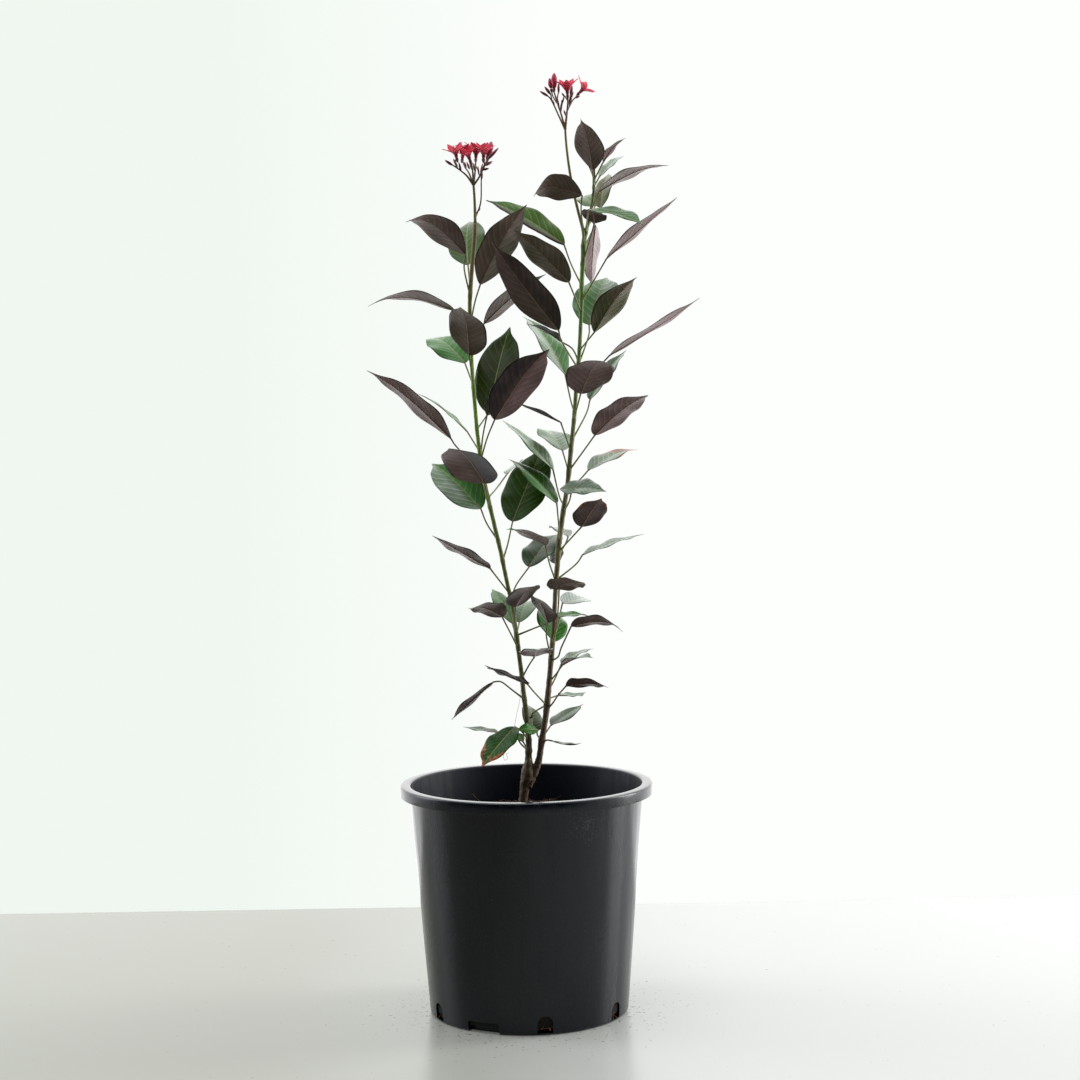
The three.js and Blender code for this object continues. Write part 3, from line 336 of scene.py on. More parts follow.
LEFT_LEAVES = (
    Leaf(848, ((-64, -18, 880),), (-62, -22, 897), (-132, -72, 936), 26, 42, UNDER, 18, 10, 0.6,
         full=0.2, halves=0.1),
    Leaf(852, (), (-59.5, 6, 885), (-56, 88, 936), 45, 48, TOP, 8, 8, 0.35, cast=0.4),
    Leaf(815, ((-52, -24, 842),), (-45.5, -30, 862), (11, -78, 955), 37, 48, UNDER, 7, 10, 0.56,
         cast=0.2, halves=-0.12),
    Leaf(785, (), (-42, -8, 816), (32, -26, 873), 18, 34, UNDER, 5, 12, 0.8),
    Leaf(742, (), (-60, -42, 779.5), (-70, -118, 836), 42, 50, UNDER, 7, 8, 0.36, cast=0.3, full=0.8),
    Leaf(743, (), (-65, 4, 770), (-107, 86, 799), 33, 48, TOP, 9, 8, 0.5),
    Leaf(800, (), (-76, -24, 832), (-178, -60, 838), 7, 42, UNDER, 13, 14, 0.75),
    Leaf(640, ((-75, -22, 670),), (-83, -26, 681.5), (-181, -62, 763), 20, 46, UNDER, 6, 12, 0.56,
         halves=0.1),
    Leaf(665, (), (-64, 6, 690), (-122, 52, 735), 2, 22, TOP, 4, 12, 0.45),
    Leaf(692, (), (-38, 5, 711), (-11, 62, 812), 50, 54, TOP, 5, 8, 0.18, cast=0.55, full=0.8),
    Leaf(657, ((-40, -26, 682),), (-31, -36, 703), (35, -98, 785), 43, 54, UNDER, 8, 10, 0.32,
         full=0.8, halves=-0.2),
    Leaf(660, ((-45, -12, 685),), (-40, -14, 708), (-5, -36, 745), 18, 30, UNDER, 3, 12, 0.32),
    Leaf(600, (), (-44, -38, 628), (-86, -142, 669.5), 42, 60, UNDER, 10, -8, 0.24, full=0.85,
         halves=0.2),
    Leaf(560, ((-42, -4, 580),), (-49, 4, 598), (-106, 82, 652), 43, 50, TOP, 7, 10, 0.6,
         full=0.85, halves=-0.24),
    Leaf(536, ((-18, 0, 555), (-14, 6, 572)), (-11.5, 12, 582.5), (26, 80, 671.5), 50, 56, TOP, 0,
         8, 0.28, full=0.9, cast=0.25),
    Leaf(611, ((-30, 44, 622),), (-17, 68, 639), (2, 112, 654), 3, 24, TOP, 2, 12, 0.85),
    Leaf(497, (), (-39, -20, 527), (-107, -70, 567), 14, 38, UNDER, 0, 10, 0.5, halves=0.2),
    Leaf(488, ((-9, 0, 506),), (7, 16, 528), (45, 94, 567), 28, 46, TOP, 6, 10, 0.12),
    Leaf(445, ((-11, -12, 462),), (-10, -26, 481), (14, -98, 505), 25, 40, UNDER, 5, 10, 0.3, full=0.8),
    Leaf(440, (), (-13.5, 10, 461), (-38, 78, 503), 20, 26, TOP, 4, 12, 0.64),
    Leaf(432, (), (-25.5, -30, 469), (-63, -94, 479), 22, 38, UNDER, 6, 12, 0.36, full=0.8),
    Leaf(447, (), (-5.5, 24, 462.5), (8, 88, 488), 25, 34, TOP, 5, 10, 0.68),
    Leaf(447, ((10, -4, 454.5), (28, -2, 461.5)), (41, -5, 468), (78, 28, 468), 2, 28, TOP, 3, 14, 0.5),
    Leaf(396, ((5, -6, 411),), (12, -15, 421.5), (17, -94, 429), 38, 40, UNDER, 4, 6, 0.6),
    Leaf(371, ((-15, -1, 382), (-28, 2, 392)), (-38, 4, 392), (-88, 46, 347.5), 11, 34, UNDER, 0,
         12, 0.35),
    Leaf(309, ((-6, 8, 318), (-14, 16, 329.5)), (-33, 26, 332), (-74, 56, 339), 2, 20, TOP, 0, 12, 0.16),
    Leaf(322, ((-5, -14, 333),), (-12.5, -22, 338), (-53, -74, 290), 25, 36, TOP, 2, 10, 0.22,
         scorch=1.1, full=0.9),
    Leaf(309, (), (-3, 3, 320), (-13, 12, 331), 8, 12, TOP, 1.5, 12, 0.66, scorch=0.6),
)

# Flower heads, as seen from the front: stalks of x, depth y, z, radius
LEFT_HEAD_STALKS = (
    ((-51.5, -14, 978, 1.4), (-59, -17, 989, 1.1), (-67, -20, 996, 0.9), (-77, -22, 1003, 0.8)),
    ((-71, -21.5, 999, 0.9), (-72.5, -25, 1006, 0.8), (-70.5, -27, 1011, 0.9)),
    ((-51.5, -14, 978, 1.3), (-56.5, -9, 992, 1), (-61.5, -3, 1000, 0.9), (-64.5, 2, 1009, 0.9)),
    ((-51.5, -14, 978, 1.3), (-52.5, -20, 997, 1), (-54.5, -28, 1008, 0.9)),
    ((-51.5, -14, 978, 1.3), (-49, -6, 998, 1), (-48.5, 4, 1010, 0.9)),
    ((-51.5, -14, 978, 1.3), (-44, -17, 989, 1.1), (-38.5, -25, 1002, 0.9), (-39.5, -30, 1010, 0.9)),
    ((-40.5, -22, 996, 1), (-37, -17, 1003, 0.9), (-35.5, -13, 1009, 0.9)),
    ((-37.5, -18, 1002, 0.8), (-34, -22, 1009, 0.8)),
    ((-44, -17, 989, 0.9), (-47.5, -4, 999, 0.8), (-53, 8, 1004.5, 0.8), (-58, 14, 1011, 0.8)),
    ((-50.4, -14, 940, 1.2), (-43.5, -12, 958, 0.9), (-42.3, -11, 985, 0.8)),
)
LEFT_HEAD_BUDS = (
    ((-76, -22, 1002), (-84, -22, 1007.5), 1.7), ((-71, -21.5, 1001), (-74.5, -18, 1009), 1.5),
    ((-66, -19, 995), (-68, -22, 1004), 1.4), ((-34.5, -21.5, 1008), (-22, -22, 1021), 1.9),
    ((-38, -20, 1001), (-29.5, -16, 1005.5), 1.8), ((-40.5, -22, 996), (-34, -22, 997.5), 1.5),
    ((-42.3, -11, 984), (-41, -10, 993), 1.3), ((-46.5, -13, 948), (-44.5, -16, 951), 1.1),
    ((-57.5, 13.5, 1010), (-60.5, 17, 1018), 1.3), ((-60, -5, 998), (-61.5, -10, 1005), 1.3),
    ((-70, -20, 998), (-72.4, -16, 1006), 1.3), ((-66, -12, 996), (-68.4, -14, 1005), 1.2),
    ((-56, -18, 997), (-58.9, -16, 1005), 1.3), ((-53, -14, 996), (-55.7, -10, 1005), 1.2),
    ((-43, -20, 992), (-40.4, -14, 1003), 1.4), ((-49.5, -10, 994), (-51.2, -14, 1003), 1.2),
    ((-45, -16, 990), (-45.9, -12, 1000), 1.1), ((-38.5, -24, 1000), (-33, -20, 1009), 1.3),
)
RIGHT_HEAD_STALKS = (
    ((57, 14, 1042, 1.4), (51, 11, 1055, 1), (42, 6, 1075, 0.9), (37, 4, 1081.5, 0.7)),
    ((42, 6, 1075, 0.8), (40.5, 3, 1084, 0.8)),
    ((57, 14, 1042, 1.5), (52.5, 15, 1060, 1.1), (49.5, 16, 1069, 1), (44.5, 17, 1086, 0.9)),
    ((47.5, 16, 1073, 0.9), (43, 8, 1081, 0.8), (42, 4, 1086, 0.8)),
    ((49.5, 16, 1069, 0.9), (48.5, 20, 1078, 0.8), (50, 24, 1086, 0.8)),
    ((52, 15, 1061, 0.8), (54, 10, 1072, 0.7)),
    ((57, 14, 1042, 1.8), (59, 13, 1058, 1.3), (60.5, 9, 1072, 1), (60.5, 2, 1083, 0.9)),
    ((60, 12, 1064, 1), (66, 18, 1075, 0.9), (70.5, 21, 1080, 0.9), (74.5, 23, 1085.5, 0.9)),
    ((60.5, 7, 1075, 0.7), (57, 9, 1081, 0.7)),
    ((61, 10, 1070, 0.8), (64, 18, 1082, 0.8)),
)
RIGHT_HEAD_BUDS = (
    ((38, 4, 1080.5), (28.5, 3, 1086.5), 1.6), ((40.5, 3, 1083), (34, 2, 1091.5), 1.8),
    ((50, 24, 1084), (50, 25, 1095.5), 1.6), ((58.6, 12.5, 1057), (56, 6, 1064), 1.3),
    ((54, 10, 1071), (53.5, 9, 1075.5), 1.1), ((57, 9, 1080), (54, 9, 1084), 1.1),
    ((62, 12, 1074), (67, 11, 1085), 1.6), ((64, 18, 1081), (65.5, 20, 1093), 1.9),
    ((69, 20, 1078.5), (74, 14, 1080.5), 1.6),
    ((50.5, 15, 1067), (48.4, 12, 1078), 1.1), ((51.5, 15, 1064), (53.6, 10, 1074), 1.1),
    ((54, 10, 1072), (56.5, 8, 1081), 1.1), ((45, 9, 1069), (43, 12, 1076), 1),
    ((48, 16, 1075), (46, 20, 1082), 1), ((62, 13, 1070), (65, 8, 1077), 1.1),
)

# Open flowers: the end of the stalk, a point that the flower faces, its length and how wide it
# opens in degrees. Big buds: the end of the stalk, the bud's point and its radius.
LEFT_BLOOMS = (
    ((-70, -26, 1006.5), (-72, -30, 1016), 20, 40), ((-64.7, 2, 1005.5), (-63.5, 4, 1015), 19, 24),
    ((-54.2, -27, 1004), (-57, -32, 1013), 18, 32), ((-48.6, 4, 1005.5), (-48, 3, 1015), 22.5, 32),
    ((-39.6, -29, 1005.5), (-39, -33, 1015), 19.5, 30),
)
RIGHT_BLOOMS = (
    ((60.6, 2, 1078.5), (60, 0, 1088), 22, 34), ((71.5, 23, 1081.5), (77, 21, 1087), 19.5, 44),
)
LEFT_BIG_BUDS = (((-35.5, -13, 1009), (-29.5, -9, 1029), 4.2),)
RIGHT_BIG_BUDS = (((42, 4, 1086), (39.5, 2, 1102), 2.8), ((44.5, 17, 1086), (45, 18, 1108), 3.8))

Side = namedtuple("Side", "name stem leaves peduncle stalks buds blooms big_buds")
SIDES = (
    Side("left", LEFT_STEM_ROWS, LEFT_LEAVES, LEFT_PEDUNCLE_ROWS, LEFT_HEAD_STALKS,
         LEFT_HEAD_BUDS, LEFT_BLOOMS, LEFT_BIG_BUDS),
    Side("right", RIGHT_STEM_ROWS, RIGHT_LEAVES, RIGHT_PEDUNCLE_ROWS, RIGHT_HEAD_STALKS,
         RIGHT_HEAD_BUDS, RIGHT_BLOOMS, RIGHT_BIG_BUDS),
)


def seen(point):
    """Moves a point read from the front to where it is at its own depth."""
    x, y, z = point[:3]
    reach = 1 + y / EYE_DISTANCE
    return Vector((x * reach, y, EYE_HEIGHT + (z - EYE_HEIGHT) * reach))


def placed(rows):
    """A stem's rows at their own depths, each with its radius as a fourth number."""
    return [Vector((*seen(row), row[3])) for row in rows]


def stem_at(rows, height):
    """The centre of a stem at an apparent height."""
    above = next(index for index, row in enumerate(rows) if row[2] >= height)
    low, high = rows[above - 1], rows[above]
    share = (height - low[2]) / (high[2] - low[2])
    return [low[axis] + (high[axis] - low[axis]) * share for axis in range(3)]


def smooth_path(points, steps):
    """Points along a smooth curve that passes every given point, of any number of axes."""
    ends = [2 * points[0] - points[1], *points, 2 * points[-1] - points[-2]]
    path = []
    for before, start, end, after in zip(ends, ends[1:], ends[2:], ends[3:]):
        for step in range(steps):
            t = step / steps
            path.append(0.5 * (2 * start + (end - before) * t
                               + (2 * before - 5 * start + 4 * end - after) * t ** 2
                               + (3 * start - before - 3 * end + after) * t ** 3))
    return [*path, points[-1]]


def path_frames(path):
    """For each point of a path, two directions square to it that turn as little as they can."""
    beside = Vector((0, 1, 0))
    if abs((path[1] - path[0]).normalized().y) > 0.8:
        beside = Vector((1, 0, 0))
    frames = []
    for index in range(len(path)):
        ahead = path[min(index + 1, len(path) - 1)]
        behind = path[max(index - 1, 0)]
        tangent = (ahead - behind).normalized()
        beside = (beside - tangent * beside.dot(tangent)).normalized()
        frames.append((beside.copy(), tangent.cross(beside)))
    return frames


def add_grid(bm, along, across, place):
    """Adds a grid of quads. place(vert, t, side) moves each point: t is 0 to 1, side -1 to 1."""
    made = bmesh.ops.create_grid(bm, x_segments=along, y_segments=across, size=1)["verts"]
    for vert in made:
        place(vert, (vert.co.x + 1) / 2, vert.co.y)
    return made


def add_tube(bm, path, radii, sides, mark=None):
    """Sweeps a circle along a path and closes both ends. mark(vert, t) may set its attributes."""
    frames = path_frames(path)
    last = len(path) - 1

    def place(vert, t, side):
        station = round(t * last)
        beside, across = frames[station]
        turn = side * math.pi
        offset = beside * math.cos(turn) + across * math.sin(turn)
        vert.co = path[station] + offset * radii[station]
        if mark:
            mark(vert, t)

    made = add_grid(bm, last, sides, place)
    bmesh.ops.remove_doubles(bm, verts=made, dist=TUBE_MERGE)
    rims = {edge for vert in made if vert.is_valid for edge in vert.link_edges if edge.is_boundary}
    bmesh.ops.holes_fill(bm, edges=list(rims), sides=sides)


def rows_along(start, direction, outline, reach=1, girth=1):
    """Rows of centre and radius along a straight line, from an outline of distances and radii."""
    return [Vector((*(start + direction * reach * share), girth * swell))
            for share, swell in outline]


def add_row_tube(bm, rows, sides, mark=None):
    """Sweeps a tube along rows of centre and radius."""
    add_tube(bm, [Vector(row[:3]) for row in rows], [row[3] for row in rows], sides, mark)


def new_mesh(name, bm, materials=(), unit=MM):
    """A mesh in metres made of a bmesh, which it uses up, with its materials."""
    bmesh.ops.scale(bm, vec=(unit, unit, unit), verts=bm.verts)
    mesh = bpy.data.meshes.new(name)
    bm.to_mesh(mesh)
    bm.free()
    for material in materials:
        mesh.materials.append(material)
    return mesh


def new_object(name, data):
    """An object in the scene that holds a mesh, a light or a camera."""
    made = bpy.data.objects.new(name, data)
    bpy.context.scene.collection.objects.link(made)
    return made


def new_piece(name, bm, materials, nodes=()):
    """Makes a piece of a bmesh in millimetres. It rides on the plant and stands for its nodes."""
    mesh = new_mesh(name, bm, materials)
    mesh.shade_smooth()
    piece = new_object(name, mesh)
    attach(piece, BODY)
    if nodes:
        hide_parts(*nodes)
    return piece


def apply_modifiers(piece):
    """Replaces a piece's mesh with what its modifiers make of it."""
    graph = bpy.context.evaluated_depsgraph_get()
    finished = bpy.data.meshes.new_from_object(piece.evaluated_get(graph))
    piece.modifiers.clear()
    piece.data = finished


def thicken(piece, thickness):
    """Gives a sheet a thickness in metres, and its back the sheet's second material."""
    solid = piece.modifiers.new("thickness", "SOLIDIFY")
    solid.thickness = thickness
    solid.offset = 0
    solid.material_offset = 1


def linear(colour):
    """An sRGB hex colour as linear numbers."""
    channels = [int(colour[start:start + 2], 16) / 255 for start in (1, 3, 5)]
    return [c / 12.92 if c <= 0.04045 else ((c + 0.055) / 1.055) ** 2.4 for c in channels]


def rgba(colour):
    """A colour with alpha, from sRGB hex or from linear numbers."""
    return (*(linear(colour) if isinstance(colour, str) else colour), 1)


def per(size):
    """The scale of a pattern on Object coordinates whose grain is this many millimetres."""
    return 1 / (size * MM)


def add(tree, kind, inputs=None, stops=(), **settings):
    """Adds a node: its settings, its inputs as numbers or as links, and a ramp's stops."""
    node = tree.nodes.new(kind)
    for name, value in settings.items():
        setattr(node, name, value)
    for name, value in (inputs or {}).items():
        if isinstance(value, bpy.types.NodeSocket):
            tree.links.new(value, node.inputs[name])
        else:
            node.inputs[name].default_value = value
    for index, (position, colour) in enumerate(stops):
        ramp = node.color_ramp.elements
        stop = ramp[index] if index < 2 else ramp.new(position)
        stop.position = position
        stop.color = rgba(colour)
    return node


def new_material(name):
    """An empty material, its node tree, and the place on the piece that its patterns read."""
    material = bpy.data.materials.new(name)
    material.use_nodes = True
    tree = material.node_tree
    tree.nodes.clear()
    return material, tree, add(tree, "ShaderNodeTexCoord").outputs["Object"]


def finish_material(tree, colour, roughness, relief, strength, depth=0.4, more=None):
    """Ends a material: its colour, roughness and more, on a relief of a depth in millimetres."""
    bump = add(tree, "ShaderNodeBump",
               {"Height": relief, "Strength": strength, "Distance": depth * MM})
    shader = add(tree, "ShaderNodeBsdfPrincipled",
                 {"Base Color": colour, "Roughness": roughness,
                  "Normal": bump.outputs["Normal"], **(more or {})})
    add(tree, "ShaderNodeOutputMaterial", {"Surface": shader.outputs["BSDF"]})


def plastic_material(settings, name, smooth, dull, shine):
    """Polypropylene, injection moulded: a dark satin skin with dust, smudges and faint streaks.

    Its lip is rubbed glossy and catches the light, and soil has splashed and dried on its wall.
    """
    material, tree, place = new_material(name)
    specks = add(tree, "ShaderNodeTexNoise", {"Vector": place, "Scale": per(1.6), "Detail": 3})
    speck_mask = add(tree, "ShaderNodeValToRGB", {"Fac": specks.outputs["Fac"]},
                     stops=[(0.71, "#000000"), (0.76, "#ffffff")])
    upright = add(tree, "ShaderNodeMapping", {"Vector": place, "Scale": (1, 1, 0.06)})
    streaks = add(tree, "ShaderNodeTexNoise",
                  {"Vector": upright.outputs["Vector"], "Scale": per(9), "Detail": 4})
    smudges = add(tree, "ShaderNodeTexNoise", {"Vector": place, "Scale": per(45), "Detail": 6})
    smudge_mask = add(tree, "ShaderNodeValToRGB", {"Fac": smudges.outputs["Fac"]},
                      stops=[(0.52, "#000000"), (0.75, "#ffffff")])
    off_splash = add(tree, "ShaderNodeVectorMath", {0: place, 1: [MM * c for c in SPLASH_CENTRE]},
                     operation="DISTANCE")
    splash = add(tree, "ShaderNodeMapRange",
                 {"Value": off_splash.outputs["Value"], "From Min": SPLASH_REACH * MM,
                  "From Max": 0.0, "To Max": 0.2})
    spatter = add(tree, "ShaderNodeTexNoise", {"Vector": place, "Scale": per(2.2), "Detail": 5})
    dried = add(tree, "ShaderNodeMath", {0: spatter.outputs["Fac"], 1: splash.outputs["Result"]})
    dried_mask = add(tree, "ShaderNodeMapRange",
                     {"Value": dried.outputs[0], "From Min": 0.64, "From Max": 0.8, "To Max": 0.2})
    film = add(tree, "ShaderNodeMix", {0: speck_mask.outputs["Color"], 2: 0.0, 3: settings.dust})
    film_share = add(tree, "ShaderNodeMath",
                     {0: smudge_mask.outputs["Color"], 1: 0.012, 2: film.outputs[0]},
                     operation="MULTIPLY_ADD")
    dirt = add(tree, "ShaderNodeMath", {0: film_share.outputs[0], 1: dried_mask.outputs["Result"]},
               operation="MAXIMUM")
    colour = add(tree, "ShaderNodeMix",
                 {0: dirt.outputs[0], 6: rgba(settings.plastic), 7: rgba("#8f8c86")},
                 data_type="RGBA")
    height = add(tree, "ShaderNodeSeparateXYZ", {"Vector": place}).outputs["Z"]
    lip = add(tree, "ShaderNodeMapRange",
              {"Value": height, "From Min": (POT_HEIGHT - LIP_RUBBED_FROM) * MM,
               "From Max": (POT_HEIGHT - LIP_RUBBED_TO) * MM})
    rough = add(tree, "ShaderNodeMapRange",
                {"Value": streaks.outputs["Fac"], "From Min": 0.35, "From Max": 0.65,
                 "To Min": smooth, "To Max": dull})
    rubbed = add(tree, "ShaderNodeMix",
                 {0: lip.outputs["Result"], 2: rough.outputs["Result"], 3: 0.2})
    bright = add(tree, "ShaderNodeMix", {0: lip.outputs["Result"], 2: shine, 3: 0.42})
    grain = add(tree, "ShaderNodeTexNoise", {"Vector": place, "Scale": per(0.9), "Detail": 2})
    finish_material(tree, colour.outputs[2], rubbed.outputs[0], grain.outputs["Fac"], 0.05,
                    more={"IOR": 1.49, "Specular IOR Level": bright.outputs[0]})
    return material


def soil_material(name, dark, pale):
    """Peat, composted bark and the grains in them: matt and crumbly, darkest at its foot, where the
    shade inside the pot is painted on.
    """
    material, tree, place = new_material(name)
    crumbs = add(tree, "ShaderNodeTexVoronoi", {"Vector": place, "Scale": per(3)})
    patches = add(tree, "ShaderNodeTexNoise", {"Vector": place, "Scale": per(9), "Detail": 6})
    share = add(tree, "ShaderNodeMath",
                {0: crumbs.outputs["Distance"], 1: patches.outputs["Fac"]}, operation="MULTIPLY")
    colour = add(tree, "ShaderNodeValToRGB", {"Fac": share.outputs[0]},
                 stops=[(0.08, dark), (0.5, pale)])
    height = add(tree, "ShaderNodeSeparateXYZ", {"Vector": place}).outputs["Z"]
    # Painted shade: the colour darkens towards the soil's foot, seen through the pot's openings
    painted_foot_shade = add(tree, "ShaderNodeMapRange",
               {"Value": height, "From Min": SOIL_SHADE_FULL_BELOW * MM,
                "From Max": SOIL_SHADE_ENDS_ABOVE * MM, "To Min": 0.12, "To Max": 1.0})
    shaded = add(tree, "ShaderNodeVectorMath",
                 {0: colour.outputs["Color"], "Scale": painted_foot_shade.outputs["Result"]}, operation="SCALE")
    finish_material(tree, shaded.outputs[0], 0.92, patches.outputs["Fac"], 0.8, 2)
    return material


def bark_material(name, skins):
    """Young bark: brown with darker cracks low down, green or red-brown above, by height."""
    material, tree, place = new_material(name)
    height = add(tree, "ShaderNodeSeparateXYZ", {"Vector": place}).outputs["Z"]
    wander = add(tree, "ShaderNodeTexNoise", {"Vector": place, "Scale": per(25), "Detail": 3})
    shift = add(tree, "ShaderNodeMath", {0: wander.outputs["Fac"], 1: 0.12, 2: height},
                operation="MULTIPLY_ADD")
    share = add(tree, "ShaderNodeMapRange",
                {"Value": shift.outputs[0], "From Min": 0.2, "From Max": 1.1})
    skin = add(tree, "ShaderNodeValToRGB", {"Fac": share.outputs["Result"]}, stops=skins)
    flat = add(tree, "ShaderNodeMapping", {"Vector": place, "Scale": (1, 1, 0.22)})
    cracks = add(tree, "ShaderNodeTexNoise",
                 {"Vector": flat.outputs["Vector"], "Scale": per(1.8), "Detail": 5})
    crack_mask = add(tree, "ShaderNodeMapRange",
                     {"Value": cracks.outputs["Fac"], "From Min": 0.35, "From Max": 0.6,
                      "To Min": 0.55, "To Max": 1.3})
    colour = add(tree, "ShaderNodeVectorMath",
                 {0: skin.outputs["Color"], "Scale": crack_mask.outputs["Result"]},
                 operation="SCALE")
    finish_material(tree, colour.outputs[0], 0.62, cracks.outputs["Fac"], 0.6, 0.8)
    return material


def skin_material(name, low, high, roughness, grain=2.5):
    """Smooth waxy skin, dry wood or fibre: flecked, between two colours."""
    material, tree, place = new_material(name)
    flecks = add(tree, "ShaderNodeTexNoise", {"Vector": place, "Scale": per(grain), "Detail": 4})
    colour = add(tree, "ShaderNodeValToRGB", {"Fac": flecks.outputs["Fac"]},
                 stops=[(0.35, low), (0.65, high)])
    finish_material(tree, colour.outputs["Color"], roughness, flecks.outputs["Fac"], 0.25)
    return material


def stalk_material(name, colours, roughness):
    """Stalk skin, waxy, that changes colour from a stalk's foot to its end and beyond."""
    material, tree, place = new_material(name)
    along = add(tree, "ShaderNodeAttribute", attribute_name="along").outputs["Fac"]
    flecks = add(tree, "ShaderNodeTexNoise", {"Vector": place, "Scale": per(3), "Detail": 4})
    share = add(tree, "ShaderNodeMath", {0: flecks.outputs["Fac"], 1: 0.25, 2: along},
                operation="MULTIPLY_ADD")
    spread = add(tree, "ShaderNodeMapRange",
                 {"Value": share.outputs[0], "From Min": 0.12, "From Max": 2.12})
    colour = add(tree, "ShaderNodeValToRGB", {"Fac": spread.outputs["Result"]}, stops=colours)
    finish_material(tree, colour.outputs["Color"], roughness, flecks.outputs["Fac"], 0.25)
    return material


def vein_masks(tree, along, off, rib):
    """How much of a side vein and of the midrib there is at a point of a blade, by its marks."""
    away = add(tree, "ShaderNodeMath", {0: rib, 1: 0.5}, operation="PINGPONG")
    side_vein = add(tree, "ShaderNodeMapRange",
                    {"Value": away.outputs[0], "From Min": 0.03, "From Max": 0.13,
                     "To Min": 1.0, "To Max": 0.0})
    reach = add(tree, "ShaderNodeMapRange", {"Value": along, "To Min": 1.5, "To Max": 0.4})
    rib_share = add(tree, "ShaderNodeMath", {0: off, 1: reach.outputs["Result"]}, operation="DIVIDE")
    midrib = add(tree, "ShaderNodeMapRange",
                 {"Value": rib_share.outputs[0], "From Min": 0.35, "From Max": 0.75,
                  "To Min": 1.0, "To Max": 0.0})
    return side_vein.outputs["Result"], midrib.outputs["Result"]


def scorched(tree, place, along, margin, scorch, skin):
    """Turns a blade's skin to dry orange-brown in ragged patches at its tip and margins."""
    rim = add(tree, "ShaderNodeMath", {0: margin, 1: 3}, operation="POWER")
    ragged = add(tree, "ShaderNodeTexNoise", {"Vector": place, "Scale": per(7), "Detail": 6})
    late = add(tree, "ShaderNodeMath", {0: along, 1: 0.75, 2: scorch}, operation="MULTIPLY_ADD")
    edged = add(tree, "ShaderNodeMath", {0: rim.outputs[0], 1: 0.35, 2: late.outputs[0]},
                operation="MULTIPLY_ADD")
    reach = add(tree, "ShaderNodeMath", {0: ragged.outputs["Fac"], 1: 0.7, 2: edged.outputs[0]},
                operation="MULTIPLY_ADD")
    burnt = add(tree, "ShaderNodeMapRange",
                {"Value": reach.outputs[0], "From Min": 2.06, "From Max": 2.16})
    dry = add(tree, "ShaderNodeValToRGB", {"Fac": ragged.outputs["Fac"]},
              stops=[(0.35, "#3c1c12"), (0.65, "#b8783e"), (0.5, "#8a4424")])
    return add(tree, "ShaderNodeMix",
               {0: burnt.outputs["Result"], 6: skin, 7: dry.outputs["Color"]}, data_type="RGBA")


def blade_material(name, tone_and_sheen_colours, cast_and_sheen_colours, midrib_colour, vein_share, roughness, gloss):
    """A leaf's waxy skin: its colour by how pale the leaf is, the pale end a painted sheen, with painted
    sheen stripes, veins and scorched tips.
    """
    material, tree, place = new_material(name)
    along, off, margin, rib, tone, scorch, cast = [
        add(tree, "ShaderNodeAttribute", attribute_name=mark).outputs["Fac"] for mark in MARKS]
    side_vein, midrib = vein_masks(tree, along, off, rib)
    blotch = add(tree, "ShaderNodeTexNoise", {"Vector": place, "Scale": per(22), "Detail": 5})
    shade = add(tree, "ShaderNodeMath", {0: blotch.outputs["Fac"], 1: 0.35, 2: tone},
                operation="MULTIPLY_ADD")
    # Painted sheen: a faint paler stripe between side veins, where a puckered glossy leaf catches light
    turn = add(tree, "ShaderNodeMath", {0: rib, 1: 2 * math.pi}, operation="MULTIPLY")
    wave = add(tree, "ShaderNodeMath", {0: turn.outputs[0]}, operation="SINE")
    painted_sheen_stripes = add(tree, "ShaderNodeMath", {0: wave.outputs[0], 1: 0.02, 2: shade.outputs[0]},
                   operation="MULTIPLY_ADD")
    spread = add(tree, "ShaderNodeMapRange",
                 {"Value": painted_sheen_stripes.outputs[0], "From Min": 0.17, "From Max": 1.17})
    plain = add(tree, "ShaderNodeValToRGB", {"Fac": spread.outputs["Result"]}, stops=tone_and_sheen_colours)
    turned = add(tree, "ShaderNodeValToRGB", {"Fac": spread.outputs["Result"]}, stops=cast_and_sheen_colours)
    patch = add(tree, "ShaderNodeTexNoise", {"Vector": place, "Scale": per(30), "Detail": 3})
    cast_share = add(tree, "ShaderNodeMath", {0: patch.outputs["Fac"], 1: 2.0},
                     operation="MULTIPLY")
    cast_here = add(tree, "ShaderNodeMath", {0: cast_share.outputs[0], 1: cast},
                    operation="MULTIPLY", use_clamp=True)
    skin = add(tree, "ShaderNodeMix",
               {0: cast_here.outputs[0], 6: plain.outputs["Color"], 7: turned.outputs["Color"]},
               data_type="RGBA")
    lift = add(tree, "ShaderNodeMath", {0: side_vein, 1: vein_share, 2: 1.0},
               operation="MULTIPLY_ADD")
    hem = add(tree, "ShaderNodeMapRange",
              {"Value": margin, "From Min": 0.9, "From Max": 0.98, "To Min": 1.0, "To Max": 0.45})
    value = add(tree, "ShaderNodeMath", {0: lift.outputs[0], 1: hem.outputs["Result"]},
                operation="MULTIPLY")
    veined = add(tree, "ShaderNodeVectorMath",
                 {0: skin.outputs[2], "Scale": value.outputs[0]}, operation="SCALE")
    rib_share = add(tree, "ShaderNodeMath", {0: midrib, 1: 0.65}, operation="MULTIPLY")
    ribbed = add(tree, "ShaderNodeMix",
                 {0: rib_share.outputs[0], 6: veined.outputs[0], 7: rgba(midrib_colour)},
                 data_type="RGBA")
    colour = scorched(tree, place, along, margin, scorch, ribbed.outputs[2])
    finish_material(tree, colour.outputs[2], roughness, side_vein, 0.3,
                    more={"Specular IOR Level": gloss})
    return material


